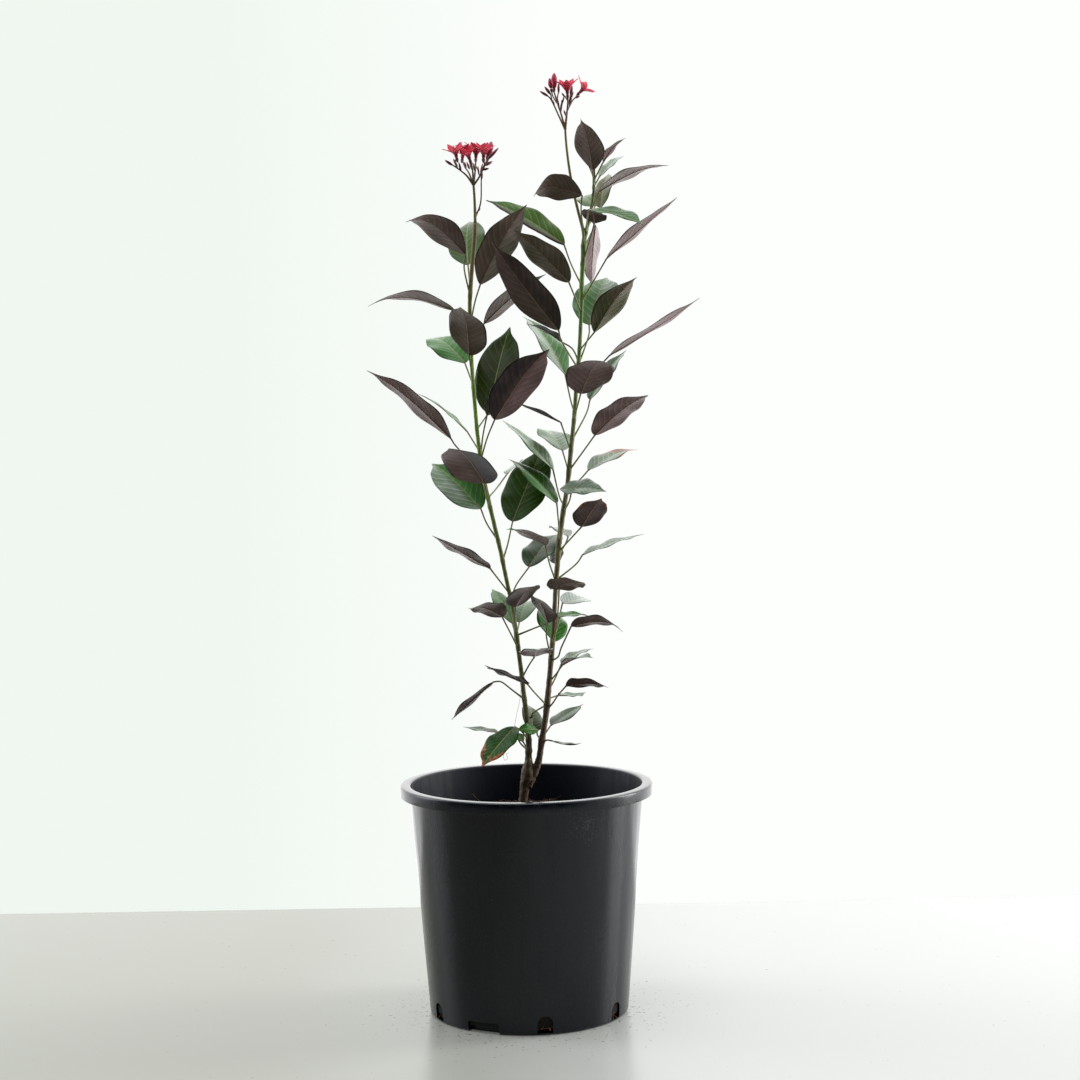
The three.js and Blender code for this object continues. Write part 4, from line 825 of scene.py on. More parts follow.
def petal_material(name, root, middle, tip, roughness):
    """A petal's skin: velvety, one colour at its root and another at its rim."""
    material, tree, place = new_material(name)
    along = add(tree, "ShaderNodeAttribute", attribute_name="along").outputs["Fac"]
    flecks = add(tree, "ShaderNodeTexNoise", {"Vector": place, "Scale": per(2.4), "Detail": 3})
    share = add(tree, "ShaderNodeMath", {0: flecks.outputs["Fac"], 1: 0.16, 2: along},
                operation="MULTIPLY_ADD")
    colour = add(tree, "ShaderNodeValToRGB", {"Fac": share.outputs[0]},
                 stops=[(0.08, root), (1.0, tip), (0.45, middle)])
    finish_material(tree, colour.outputs["Color"], roughness, flecks.outputs["Fac"], 0.3,
                    more={"Specular IOR Level": 0.3, "Subsurface Weight": 0.5,
                          "Subsurface Radius": (1.0, 0.25, 0.3), "Subsurface Scale": 0.0015})
    return material


def near_rings(bm, radius, height):
    """The edges of a turned shape that run round it at a radius and height."""
    def on_ring(vert):
        return (abs(vert.co.xy.length - radius) < ON_RING
                and abs(vert.co.z - height) < ON_RING)
    return [edge for edge in bm.edges if all(on_ring(vert) for vert in edge.verts)]


def spin_profile(bm, profile, steps):
    """Turns a profile of radii and heights round the pot's axis."""
    verts = [bm.verts.new((radius, 0, height)) for radius, height in profile]
    edges = [bm.edges.new(pair) for pair in zip(verts, verts[1:])]
    bmesh.ops.spin(bm, geom=verts + edges, cent=(0, 0, 0), axis=(0, 0, 1), steps=steps,
                   angle=2 * math.pi, use_merge=True)
    bmesh.ops.remove_doubles(bm, verts=bm.verts, dist=MERGE)
    bmesh.ops.recalc_face_normals(bm, faces=bm.faces)


def pot_shell(settings):
    """The pot's turned shell: a hanging lip, a tapered wall and a channel pressed in its floor."""
    def wall(height):
        return FOOT_RADIUS + WALL_SLOPE * height

    under = POT_HEIGHT - POT_WALL
    lip_foot = POT_HEIGHT - LIP_DROP
    channel_top = POT_FLOOR + FLOOR_CHANNEL_DEPTH
    profile = [
        (0, 0), (PAD_RADIUS, 0), (PAD_RADIUS + POT_SLANT, FLOOR_CHANNEL_DEPTH),
        (CHANNEL_RADIUS, FLOOR_CHANNEL_DEPTH), (CHANNEL_RADIUS + CHANNEL_SLANT, 0),
        (FOOT_RADIUS - FOOT_CHAMFER, 0), (FOOT_RADIUS, FOOT_CHAMFER), (wall(under), under),
        (RIM_RADIUS - POT_WALL, under), (RIM_RADIUS - POT_WALL, lip_foot),
        (RIM_RADIUS, lip_foot), (RIM_RADIUS, POT_HEIGHT), (RIM_INNER_RADIUS, POT_HEIGHT),
        (wall(POT_HEIGHT - POT_SLANT) - POT_WALL, POT_HEIGHT - POT_SLANT),
        (wall(channel_top + POT_SLANT) - POT_WALL, channel_top + POT_SLANT),
        (wall(channel_top) - POT_WALL - POT_SLANT, channel_top), (0, channel_top),
    ]
    bm = bmesh.new()
    spin_profile(bm, profile, settings.steps_round)
    # Edges to round over: radius, height, and how far from the edge the round starts
    round_over = [
        (RIM_RADIUS, POT_HEIGHT, 2.2), (RIM_RADIUS, lip_foot, 0.7),
        (RIM_RADIUS - POT_WALL, lip_foot, 0.7), (RIM_INNER_RADIUS, POT_HEIGHT, 1.4),
        (FOOT_RADIUS, FOOT_CHAMFER, 1.2), (FOOT_RADIUS - FOOT_CHAMFER, 0, 0.9),
    ]
    for radius, height, offset in round_over:
        bmesh.ops.bevel(bm, geom=near_rings(bm, radius, height), offset=offset,
                        segments=EDGE_FACETS, profile=0.5, affect="EDGES", material=-1)
    bm.normal_update()
    for face in bm.faces:
        middle = face.calc_center_median()
        faces_in = face.normal.xy.dot(middle.xy) < -0.5 * middle.xy.length
        if faces_in and middle.z < POT_HEIGHT - LIP_EDGE:
            face.material_index = 1
    return bm


def add_wall_cutter(bm, width, sill, height, top_radius, azimuth):
    """A block with a rounded top, pushed through the wall's foot at an azimuth."""
    block = bmesh.ops.create_cube(bm, size=1)["verts"]
    bmesh.ops.scale(bm, vec=(width, CUTTER_REACH, height), verts=block)
    bmesh.ops.translate(bm, vec=(0, -FOOT_RADIUS, sill + height / 2), verts=block)
    top = sill + height
    shoulders = {edge for vert in block for edge in vert.link_edges
                 if all(abs(end.co.z - top) < LEVEL_WITH for end in edge.verts)
                 and abs(edge.verts[0].co.x - edge.verts[1].co.x) < LEVEL_WITH}
    rounded = bmesh.ops.bevel(bm, geom=list(shoulders), offset=top_radius,
                              segments=CUTTER_FACETS, profile=0.5, affect="EDGES", material=-1)
    whole = {vert for face in rounded["faces"] for vert in face.verts} | {
        vert for vert in block if vert.is_valid}
    bmesh.ops.rotate(bm, cent=(0, 0, 0), verts=list(whole),
                     matrix=Matrix.Rotation(math.radians(azimuth), 3, "Z"))


def pot_cutters():
    """Every opening at the pot's foot: three notches, each with a drain hole on either side."""
    bm = bmesh.new()
    for index in range(NOTCH_COUNT):
        azimuth = FIRST_NOTCH_AZIMUTH + index * 360 / NOTCH_COUNT
        add_wall_cutter(bm, NOTCH_WIDTH, -CUTTER_OVERLAP, NOTCH_HEIGHT + CUTTER_OVERLAP,
                        NOTCH_CORNER, azimuth)
        for side in (-1, 1):
            add_wall_cutter(bm, DRAIN_WIDTH, DRAIN_SILL, DRAIN_HEIGHT, DRAIN_WIDTH / 2 - DRAIN_FLAT,
                            azimuth + side * DRAIN_OFFSET)
    return new_object("openings", new_mesh("openings", bm))


def soil_height(radius, turn):
    """How high the soil's top stands: a low mound round the trunk, with shallow lumps."""
    base = POT_HEIGHT - SOIL_DEPTH_BELOW_RIM
    mound = (SOIL_MOUND * math.exp(-((radius / SOIL_MOUND_REACH) ** 2))
             - SOIL_SAG * (radius / SOIL_SAG_RADIUS) ** 4)
    lumps = math.sin(radius * 0.16 + 3 * turn) * math.cos(5 * turn - radius * 0.07)
    return base + mound + SOIL_LUMP * lumps * min(radius / SOIL_LUMP_REACH, 1)


def soil_point(radius, turn, lift=0):
    """A point of the soil's top."""
    return Vector((radius * math.cos(turn), radius * math.sin(turn),
                   soil_height(radius, turn) + lift))


def soil_body():
    """The soil: a turned body that fills the pot, its top pushed about into crumbs."""
    def inside(height):
        return FOOT_RADIUS - POT_WALL + WALL_SLOPE * height - GAP

    floor = POT_FLOOR + FLOOR_CHANNEL_DEPTH + GAP
    wall_foot = floor + SOIL_FOOT_CHAMFER
    edge_top = POT_HEIGHT - SOIL_DEPTH_BELOW_RIM - SOIL_EDGE_DROP
    reach = inside(edge_top)
    profile = [(0, floor), (inside(floor) - SOIL_FOOT_CHAMFER, floor)]
    heights = [wall_foot + step * SOIL_FOOT_STEP for step in range(SOIL_FOOT_STEPS)]
    profile += [(inside(height), height) for height in heights]
    profile += [(reach * (1 - step / SOIL_RINGS), edge_top) for step in range(SOIL_RINGS + 1)]
    bm = bmesh.new()
    spin_profile(bm, profile, SOIL_STEPS_ROUND)
    for vert in bm.verts:
        radius = vert.co.xy.length
        if abs(vert.co.z - edge_top) > LEVEL_WITH:
            continue
        turn = math.atan2(vert.co.y, vert.co.x)
        rough = noise.fractal(vert.co * 0.22, 0.9, 2.1, 5) * SOIL_ROUGHNESS
        keep = min((reach - radius) / SOIL_EDGE_FADE, 1)
        vert.co.z += keep * (soil_height(radius, turn) - edge_top + rough)
    return bm


def add_crumb(bm, rng, centre, size, squash):
    """A lump of soil or bark: a small ball pushed out of round and turned at random."""
    turn = Matrix.Rotation(rng.uniform(0, CRUMB_TURN), 4, Vector((rng.random(), rng.random(), 1)))
    stretch = Matrix.Diagonal((1, rng.uniform(0.6, 1), squash, 1))
    made = bmesh.ops.create_icosphere(bm, subdivisions=1, radius=size,
                                      matrix=Matrix.Translation(centre) @ turn @ stretch)["verts"]
    for vert in made:
        vert.co += noise.noise_vector(vert.co * 0.9) * size * 0.35


def scatter_crumbs(seed, count, sizes, squash):
    """Loose lumps all over the soil's top."""
    rng = random.Random(seed)
    bm = bmesh.new()
    for _ in range(count):
        radius = SCATTER_RADIUS * math.sqrt(rng.random())
        size = rng.uniform(*sizes)
        centre = soil_point(radius, rng.uniform(0, 2 * math.pi), size * 0.3)
        add_crumb(bm, rng, centre, size, squash)
    return bm


def add_fibre(bm, rng, start, length, heading):
    """A curled coir fibre that starts at a point and wanders along a heading."""
    points = [start]
    for _ in range(FIBRE_BENDS):
        heading = (heading + Vector([rng.uniform(-0.6, 0.6) for _ in range(3)])).normalized()
        points.append(points[-1] + heading * length / FIBRE_BENDS)
    path = smooth_path(points, 3)
    add_tube(bm, path, [FIBRE_RADIUS] * len(path), 5)


def scatter_fibres(seed):
    """Coir fibres: on the soil, and with crumbs in the drain holes at the pot's foot."""
    rng = random.Random(seed)
    bm = bmesh.new()
    for _ in range(FIBRE_COUNT):
        turn = rng.uniform(0, 2 * math.pi)
        start = soil_point(FIBRE_SCATTER_RADIUS * math.sqrt(rng.random()), turn, 1)
        heading = Vector((rng.uniform(-1, 1), rng.uniform(-1, 1), 0.1)).normalized()
        add_fibre(bm, rng, start, rng.uniform(10, 26), heading)
    for index in range(NOTCH_COUNT):
        for side in (-1, 1):
            azimuth = FIRST_NOTCH_AZIMUTH + index * 360 / NOTCH_COUNT + side * DRAIN_OFFSET
            turn = math.radians(azimuth - 90)
            out = Vector((math.cos(turn), math.sin(turn), 0))
            beside = Vector((-out.y, out.x, 0))
            for _ in range(FIBRES_PER_DRAIN):
                height = DRAIN_SILL + rng.uniform(4, 11)
                start = out * (FOOT_RADIUS - FIBRE_SETBACK) + beside * rng.uniform(-5, 5)
                start.z = height
                add_fibre(bm, rng, start, rng.uniform(7, 12),
                          (beside * rng.uniform(-1, 1) + Vector((0, 0, -0.5))).normalized())
            for _ in range(CRUMBS_PER_DRAIN):
                centre = out * (FOOT_RADIUS - CRUMB_SETBACK) + beside * rng.uniform(-6, 6)
                centre.z = DRAIN_SILL + rng.uniform(2.5, 8)
                add_crumb(bm, rng, centre, rng.uniform(1.6, 2.6), 0.6)
    for vert in bm.verts:
        vert.co.z = max(vert.co.z, TABLE_CLEARANCE)
    return bm


def stem_bmesh(rows, feet, sides=20, steps=9):
    """A stem that swells where each petiole leaves it, with knobs and wrinkles low down."""
    rows_at = smooth_path(placed(rows), steps)
    path = [Vector(row[:3]) for row in rows_at]
    radii = []
    for point, row in zip(path, rows_at):
        swell = sum(math.exp(-(((point.z - foot) / NODE_SWELL_REACH) ** 2)) for foot in feet)
        radii.append(row[3] * (1 + NODE_SWELL * min(swell, NODE_SWELL_LIMIT)))
    bm = bmesh.new()
    add_tube(bm, path, radii, sides)
    for vert in bm.verts:
        low = max(0, min(1, (KNOBBY_BELOW - vert.co.z) / KNOBBY_FADE))
        push = noise.fractal(vert.co * 0.28, 1, 2, 3) * (WRINKLE + KNOBBINESS * low)
        nearest = min(path, key=lambda centre: (centre - vert.co).length_squared)
        vert.co += (vert.co - nearest).normalized() * push
    return bm


def blade_share(t, full):
    """The half width of a blade at t along it, as a share of its largest, with its drip tip."""
    power = SLIM_POWER + (FULL_POWER - SLIM_POWER) * full
    body = max(math.sin(math.pi * t ** TOWARD_BASE), 0) ** power
    late = max(0, min(1, (t - DRIP_TIP_START) / DRIP_TIP_RUN))
    return body * (1 - DRIP_TIP_CUT * late * late * (3 - 2 * late))


class Blade:
    """One leaf's blade: where it starts, its own directions, and how it bends."""

    def __init__(self, leaf, index):
        self.leaf = leaf
        self.start = seen(leaf.base)
        span = seen(leaf.tip) - self.start
        self.length = span.length
        self.along = span.normalized()
        away = (Vector((0, 1, 0)) - self.along * self.along.y).normalized()
        upright = self.along.cross(away)
        if upright.z < 0:
            upright.negate()
        shown = min(leaf.seen_width / leaf.width, 1)
        facing = -shown if leaf.face == TOP else shown
        self.up = upright * math.sqrt(1 - shown * shown) + away * facing
        self.across = self.along.cross(self.up)
        self.waves = 1.6 + (index % 3) * 0.5
        self.phase = index * 1.7

    def rib_phase(self, t, side):
        """Which side vein a point is on: a whole number on the vein itself."""
        return SIDE_VEINS * (t - VEIN_SLANT * abs(side) ** 1.25 * (1 - 0.35 * t)) + 4

    def point(self, t, side):
        """A point of the blade. A rolled margin turns back over it and shows its other skin."""
        leaf = self.leaf
        crease = 1 - abs(leaf.rolled)
        over = max(abs(side) - crease, 0) if side * leaf.rolled > 0 else 0
        side = math.copysign(abs(side) - 2 * over, side)
        share = blade_share(t, leaf.full)
        half = max(leaf.width / 2 * share, LEAST_HALF_WIDTH)
        fold = math.radians(leaf.fold)
        bulge = ARCH_SCALE * leaf.arch * (t - t ** 3)
        rise = abs(side) * half * math.sin(fold) - BOW * half * side * side
        ripple = (leaf.width * RIPPLE * side * side * share
                  * math.sin(self.waves * t * 2 * math.pi + self.phase + side))
        pucker = (PUCKER * leaf.width / 60 * abs(side) * (1 - abs(side) ** 4)
                  * min(1, 2 * share) * -math.cos(2 * math.pi * self.rib_phase(t, side)))
        lift = min(over / 0.06, 1) * ROLL_LIFT
        return (self.start + self.along * self.length * t
                + self.across * side * half * math.cos(fold)
                + self.up * (bulge + rise + ripple + pucker + lift))


def add_blade(bm, blade, layers):
    """Adds a blade as a grid, finer on a larger leaf, with the marks that its skin reads."""
    leaf = blade.leaf
    along, across = (54, 16) if leaf.width >= 44 else (44, 12) if leaf.width >= 27 else (30, 10)

    def place(vert, t, side):
        t = t ** 1.4
        half = leaf.width / 2 * blade_share(t, leaf.full)
        vert.co = blade.point(t, side)
        # Painted light and shade: one side of the midrib is paler, as on a folded leaf facing the light
        tone = leaf.tone + leaf.halves * max(-1, min(1, 3 * side))
        values = (t, abs(side) * half, abs(side), blade.rib_phase(t, side), tone, leaf.scorch,
                  leaf.cast)
        for layer, value in zip(layers, values):
            vert[layer] = value

    made = add_grid(bm, along, across, place)
    bmesh.ops.reverse_faces(bm, faces=list({face for vert in made for face in vert.link_faces}))


def leaves_bmesh(leaves):
    """All the blades of a stem."""
    bm = bmesh.new()
    layers = [bm.verts.layers.float.new(name) for name in MARKS]
    for index, leaf in enumerate(leaves):
        add_blade(bm, Blade(leaf, index), layers)
    return bm


def stalks_bmesh(stem_rows, leaves):
    """The petioles of a stem's leaves, and the midrib that stands out under each blade."""
    bm = bmesh.new()
    along_mark = bm.verts.layers.float.new("along")

    def mark_petiole(vert, t):
        vert[along_mark] = t

    def mark_midrib(vert, t):
        vert[along_mark] = 1.3 + 0.7 * t

    for index, leaf in enumerate(leaves):
        blade = Blade(leaf, index)
        end = blade.point(leaf.joint, 0)
        points = [seen(stem_at(stem_rows, leaf.foot)), *map(seen, leaf.via), end]
        path = smooth_path(points, 8)
        last = len(path) - 1
        radii = [PETIOLE_RADIUS * (1 + 0.5 * (1 - step / last) ** 6 + 0.12 * (step / last) ** 8)
                 for step in range(last + 1)]
        add_tube(bm, path, radii, 10, mark_petiole)
        stations = [step / 20 for step in range(20)]
        rib = [blade.point(t * MIDRIB_SHARE, 0) - blade.up * MIDRIB_DROP for t in stations]
        girths = [MIDRIB_RADIUS * (1 - t) + MIDRIB_TIP_RADIUS for t in stations]
        add_tube(bm, rib, girths, 8, mark_midrib)
    return bm


def seat(foot, toward):
    """Where a flower sits at the end of its stalk, and the way it faces."""
    start = seen(foot)
    return start, (seen(toward) - start).normalized()


def seat_on_cup(foot, toward):
    """Where a flower stands on its cup, and the way it faces."""
    start, direction = seat(foot, toward)
    return start + direction * (CUP_LENGTH + GAP), direction


def flower_head_bmesh(side):
    """A flower head: its stalks, its closed buds, and the green cup under each flower."""
    bm = bmesh.new()
    along_mark = bm.verts.layers.float.new("along")

    def mark_from(start, reach):
        def mark(vert, t):
            vert[along_mark] = start + reach * t
        return mark

    for rows in (side.peduncle, *side.stalks):
        mark = mark_from(0, 0.35) if rows is side.peduncle else mark_from(0.4, 0.8)
        add_row_tube(bm, smooth_path(placed(rows), 8), 12, mark)
    for foot, point, radius in side.buds:
        start, direction = seat(foot, point)
        length = (seen(point) - start).length + 1
        rows = rows_along(start, direction, BUD_OUTLINE, length, radius)
        add_row_tube(bm, smooth_path(rows, 3), 10, mark_from(1.1, 0.8))
    for flower in side.blooms + side.big_buds:
        cup = rows_along(*seat(*flower[:2]), CUP_OUTLINE)
        add_row_tube(bm, smooth_path(cup, 4), 14, mark_from(1.2, 0.3))
    return bm


def petal_share(t):
    """The half width of a petal at t along it: a narrow claw, a broad body, a short point."""
    body = CLAW_WIDTH + (1 - CLAW_WIDTH) * math.sin(math.pi / 2 * min(t / BROADEST, 1))
    if t < BROADEST:
        return body
    return body * max(1 - ((t - BROADEST) / (1 - BROADEST)) ** 1.4, 0.02)


def petal_point(root, direction, outward, length, opening, t, side):
    """A point of a petal that leaves the neck almost straight, bends out and rolls its rim."""
    lean = opening * min(1, 0.4 + t) + 0.35 * max(0, t - 0.6)
    along = direction * math.cos(lean) + outward * math.sin(lean)
    face = direction * math.sin(lean) - outward * math.cos(lean)
    across = direction.cross(outward)
    half = PETAL_BREADTH * length * petal_share(t)
    cup = 1.1 * side * side * (1 - 0.7 * t)
    wave = 0.4 * side * t * math.sin(7 * t + 3 * side)
    return root + along * length * t + across * side * half + face * (cup + wave)


def bloom_bmesh(bloom, turn):
    """A bloom's petals, which stand in a ring on its neck and open outwards."""
    foot, toward, reach, opening = bloom
    start, direction = seat_on_cup(foot, toward)
    sideways = (Vector((1, 0, 0)) - direction * direction.x).normalized()
    bm = bmesh.new()
    along_mark = bm.verts.layers.float.new("along")
    for index in range(PETALS_PER_BLOOM):
        spin = turn + index / PETALS_PER_BLOOM * 2 * math.pi
        outward = Matrix.Rotation(spin, 3, direction) @ sideways
        root = start + direction * (NECK_LENGTH - 1) + outward * (NECK_RADIUS - 0.9)

        def place(vert, t, side):
            vert.co = petal_point(root, direction, outward, reach - NECK_LENGTH + 1.5,
                                  math.radians(opening), t, side)
            vert[along_mark] = t

        add_grid(bm, 20, 12, place)
    return bm


def stamens(bloom, rng):
    """How each stamen of a bloom leans, and where its tip is."""
    foot, toward, reach, _ = bloom
    start, direction = seat_on_cup(foot, toward)
    for _ in range(STAMENS_PER_BLOOM):
        lean = Vector([rng.uniform(-0.16, 0.16) for _ in range(3)])
        yield lean, start + (direction + lean) * rng.uniform(0.45, 0.7) * reach


def necks_bmesh(blooms):
    """The neck of every bloom of a head, with the fine stamens that stand in its throat."""
    rng = random.Random(STAMEN_SEED)
    bm = bmesh.new()
    for bloom in blooms:
        start, direction = seat_on_cup(*bloom[:2])
        add_row_tube(bm, smooth_path(rows_along(start, direction, NECK_OUTLINE), 4), 14)
        base = start + direction * NECK_LENGTH * 0.8
        for lean, tip in stamens(bloom, rng):
            path = smooth_path([base, (base + tip) / 2 + lean * 1.5, tip], 3)
            add_tube(bm, path, [STAMEN_RADIUS] * len(path), 6)
    return bm


def anthers_bmesh(blooms):
    """The anthers: small pollen bags at the stamens' tips."""
    rng = random.Random(STAMEN_SEED)
    bm = bmesh.new()
    for bloom in blooms:
        _, direction = seat_on_cup(*bloom[:2])
        turn = direction.to_track_quat("Z", "Y").to_matrix().to_4x4()
        for _, tip in stamens(bloom, rng):
            bmesh.ops.create_icosphere(
                bm, subdivisions=2, radius=ANTHER_RADIUS,
                matrix=Matrix.Translation(tip) @ turn @ Matrix.Diagonal((0.7, 0.7, 1.5, 1)))
    return bm


def big_bud_bmesh(bud):
    """A red bud about to open: five petals wound round each other."""
    foot, point, radius = bud
    start, direction = seat_on_cup(foot, point)
    length = (seen(point) - start).length
    rows = smooth_path(rows_along(start, direction, BUD_OUTLINE, length, radius), 6)
    path = [Vector(row[:3]) for row in rows]
    frames = path_frames(path)
    last = len(path) - 1
    bm = bmesh.new()
    along_mark = bm.verts.layers.float.new("along")

    def place(vert, t, side):
        station = round(t * last)
        beside, across = frames[station]
        turn = side * math.pi
        fold = (PETALS_PER_BLOOM * (turn + BUD_WINDING * t) / (2 * math.pi)) % 1
        swell = rows[station][3] * (0.9 + 0.16 * fold)
        vert.co = path[station] + (beside * math.cos(turn) + across * math.sin(turn)) * swell
        vert[along_mark] = t

    made = add_grid(bm, last, 50, place)
    bmesh.ops.remove_doubles(bm, verts=made, dist=MERGE)
    bmesh.ops.holes_fill(bm, edges=[edge for edge in bm.edges if edge.is_boundary], sides=60)
    bmesh.ops.recalc_face_normals(bm, faces=bm.faces)
    return bm


class PotSettings(bpy.types.PropertyGroup):
    """Sizes and colours of the pot and its soil"""

    steps_round: IntProperty(name="Steps round", description="Facets round the pot's wall",
                             default=192, min=48, max=384)
    plastic: FloatVectorProperty(name="Plastic", description="Colour of the pot's plastic",
                                 subtype="COLOR", min=0, max=1, default=linear("#060c17"))
    dust: FloatProperty(name="Dust", description="How strongly dust specks show",
                        subtype="FACTOR", default=0.3, min=0, max=1)
    soil_dark: FloatVectorProperty(name="Damp soil", description="Darkest colour of the soil",
                                   subtype="COLOR", min=0, max=1, default=linear("#120e0b"))
    soil_pale: FloatVectorProperty(name="Dry soil", description="Palest colour of the soil",
                                   subtype="COLOR", min=0, max=1, default=linear("#4a3a2c"))


class PlantSettings(bpy.types.PropertyGroup):
    """Sizes and colours of the stems, leaves and flowers"""

    blade_thickness: FloatProperty(name="Leaf thickness", description="Thickness of a leaf blade",
                                   unit="LENGTH", default=0.0004, min=0.0001, max=0.001)
    petal_thickness: FloatProperty(name="Petal thickness", description="Thickness of a petal",
                                   unit="LENGTH", default=0.0004, min=0.0001, max=0.001)
    petal: FloatVectorProperty(name="Petal", description="Colour of a petal's face",
                               subtype="COLOR", min=0, max=1, default=linear("#cc2a4a"))
    petiole: FloatVectorProperty(name="Petiole", description="Colour of the leaf stalks",
                                 subtype="COLOR", min=0, max=1, default=linear("#8c9050"))


class StageSettings(bpy.types.PropertyGroup):
    """Floor, background and lights"""

    floor_back: FloatProperty(name="Floor's back edge", unit="LENGTH", default=0.547,
                              description="How far behind the pot the floor ends")
    floor_reach: FloatProperty(name="Floor's reach", unit="LENGTH", default=2.0,
                               description="How far the floor runs to the sides and front")
    floor_colour: FloatVectorProperty(name="Floor", description="Colour of the floor",
                                      subtype="COLOR", min=0, max=1, default=linear("#b2b5a6"))
    floor_right: FloatVectorProperty(name="Floor's right", subtype="COLOR", min=0, max=1,
                                     default=linear("#e8ebe7"),
                                     description="Colour of the floor's paler right side")
    background: FloatVectorProperty(name="Background", description="Colour behind everything",
                                    subtype="COLOR", min=0, max=1, default=linear("#fdfffd"))


class JATROPHA_OT_pot(bpy.types.Operator):
    """Builds the black nursery pot with its lip, notches and drain holes"""

    bl_idname = "jatropha.pot"
    bl_label = "Nursery pot"

    def execute(self, context):
        settings = context.scene.jatropha_pot
        skins = [plastic_material(settings, "moulded polypropylene", 0.16, 0.3, 0.42),
                 plastic_material(settings, "polypropylene, dulled by wet soil", 0.5, 0.6, 0.15)]
        pot = new_piece("nursery_pot_shell", pot_shell(settings), skins,
                        ["nursery_pot"])
        cutter = pot_cutters()
        cut = pot.modifiers.new("openings", "BOOLEAN")
        cut.operation = "DIFFERENCE"
        cut.solver = "EXACT"
        cut.object = cutter
        apply_modifiers(pot)
        bpy.data.objects.remove(cutter)
        pot.data.set_sharp_from_angle(angle=math.radians(40))
        return {"FINISHED"}


class JATROPHA_OT_soil(bpy.types.Operator):
    """Fills the pot with crumbly soil, bark chips and coir fibres"""

    bl_idname = "jatropha.soil"
    bl_label = "Potting soil"

    def execute(self, context):
        settings = context.scene.jatropha_pot
        # This noise starts from the clock unless it is given a seed
        noise.seed_set(CRUMB_NOISE_SEED)
        peat = soil_material("peat and bark compost", settings.soil_dark, settings.soil_pale)
        new_piece("soil_body", soil_body(), [peat], ["potting_soil"])
        crumbs = scatter_crumbs(3, 420, (0.9, 3.2), 0.8)
        new_piece("soil_crumbs", crumbs, [peat])
        chips = scatter_crumbs(5, 60, (2.2, 5), 0.3)
        new_piece("bark_chips", chips, [soil_material("bark chips", "#2a1a10", "#6e4a30")])
        grit = scatter_crumbs(8, 90, (0.5, 1.2), 0.9)
        new_piece("perlite_grains", grit, [soil_material("perlite", "#a9a294", "#e8e2d4")])
        coir = skin_material("coir fibre", "#5a3a26", "#9a6c48", 0.8, 4)
        new_piece("coir_fibres", scatter_fibres(11), [coir])
        return {"FINISHED"}


class JATROPHA_OT_stems(bpy.types.Operator):
    """Grows the trunk, its two stems and the stub of a snapped twig"""

    bl_idname = "jatropha.stems"
    bl_label = "Stems"

    def execute(self, context):
        green_bark = bark_material(
            "green young bark",
            [(0.0, "#54402f"), (1.0, "#6a4436"), (0.12, "#604a38"), (0.25, "#73704a"),
             (0.45, "#7c8048"), (0.7, "#8cb040"), (0.8, "#7a6c42")])
        brown_bark = bark_material(
            "brown young bark",
            [(0.0, "#54402f"), (1.0, "#4a2e2a"), (0.3, "#6e5c46"), (0.5, "#766e48"),
             (0.7, "#74804a"), (0.82, "#68883c")])
        for side, bark in zip(SIDES, (green_bark, brown_bark)):
            feet = [seen(stem_at(side.stem, leaf.foot)).z for leaf in side.leaves]
            new_piece(f"{side.name}_stem", stem_bmesh(side.stem, feet), [bark],
                      [f"{side.name}_leafy_stem"])
        stub = bmesh.new()
        add_row_tube(stub, smooth_path(placed(SNAPPED_TWIG_ROWS), 6), 12)
        pale = skin_material("snapped wood", "#7d6a50", "#b39f80", 0.8, 1.2)
        new_piece("snapped_twig", stub, [pale])
        thread = bmesh.new()
        path = smooth_path([seen(point) for point in THREAD_POINTS], 6)
        add_tube(thread, path, [THREAD_RADIUS] * len(path), 6)
        dry = skin_material("dry thread", "#8d8a80", "#c4c0b4", 0.7, 4)
        new_piece("dry_thread", thread, [dry])
        return {"FINISHED"}


class JATROPHA_OT_leaves(bpy.types.Operator):
    """Hangs every leaf on its petiole, with veins, waves and folds"""

    bl_idname = "jatropha.leaves"
    bl_label = "Leaves"

    def execute(self, context):
        settings = context.scene.jatropha_plant
        # The pale ends of both leaf skins' colour ramps are painted sheen, the gloss of a leaf in the
        # light
        upper = blade_material(
            "glossy upper leaf skin",
            [(0.0, "#0f2404"), (1.0, "#a6b1a8"), (0.25, "#1f4c08"), (0.5, "#32701e"),
             (0.75, "#64805c")],
            [(0.0, "#1c1a0c"), (1.0, "#a09a80"), (0.25, "#38340f"), (0.5, "#585220"),
             (0.75, "#76744a")],
            "#9fae62", 0.75, 0.28, 0.15)
        under = blade_material(
            "matt lower leaf skin",
            [(0.0, "#26242a"), (1.0, "#b4a6a8"), (0.25, "#50403f"), (0.5, "#745c5b"),
             (0.75, "#938082")],
            [(0.0, "#1c2114"), (1.0, "#9a9c88"), (0.25, "#3f4224"), (0.5, "#636242"),
             (0.75, "#7f7f64")],
            "#a07a6c", 0.42, 0.45, 0.1)
        skin = stalk_material(
            "petiole skin",
            [(0.0, settings.petiole), (1.0, "#9a7468"), (0.3, "#7c7c46"), (0.5, "#6e5640")], 0.45)
        for side in SIDES:
            node = f"{side.name}_leafy_stem"
            blades = new_piece(f"{side.name}_leaves", leaves_bmesh(side.leaves), [upper, under],
                               [node])
            thicken(blades, settings.blade_thickness)
            new_piece(f"{side.name}_leaf_stalks", stalks_bmesh(side.stem, side.leaves), [skin],
                      [node])
        return {"FINISHED"}


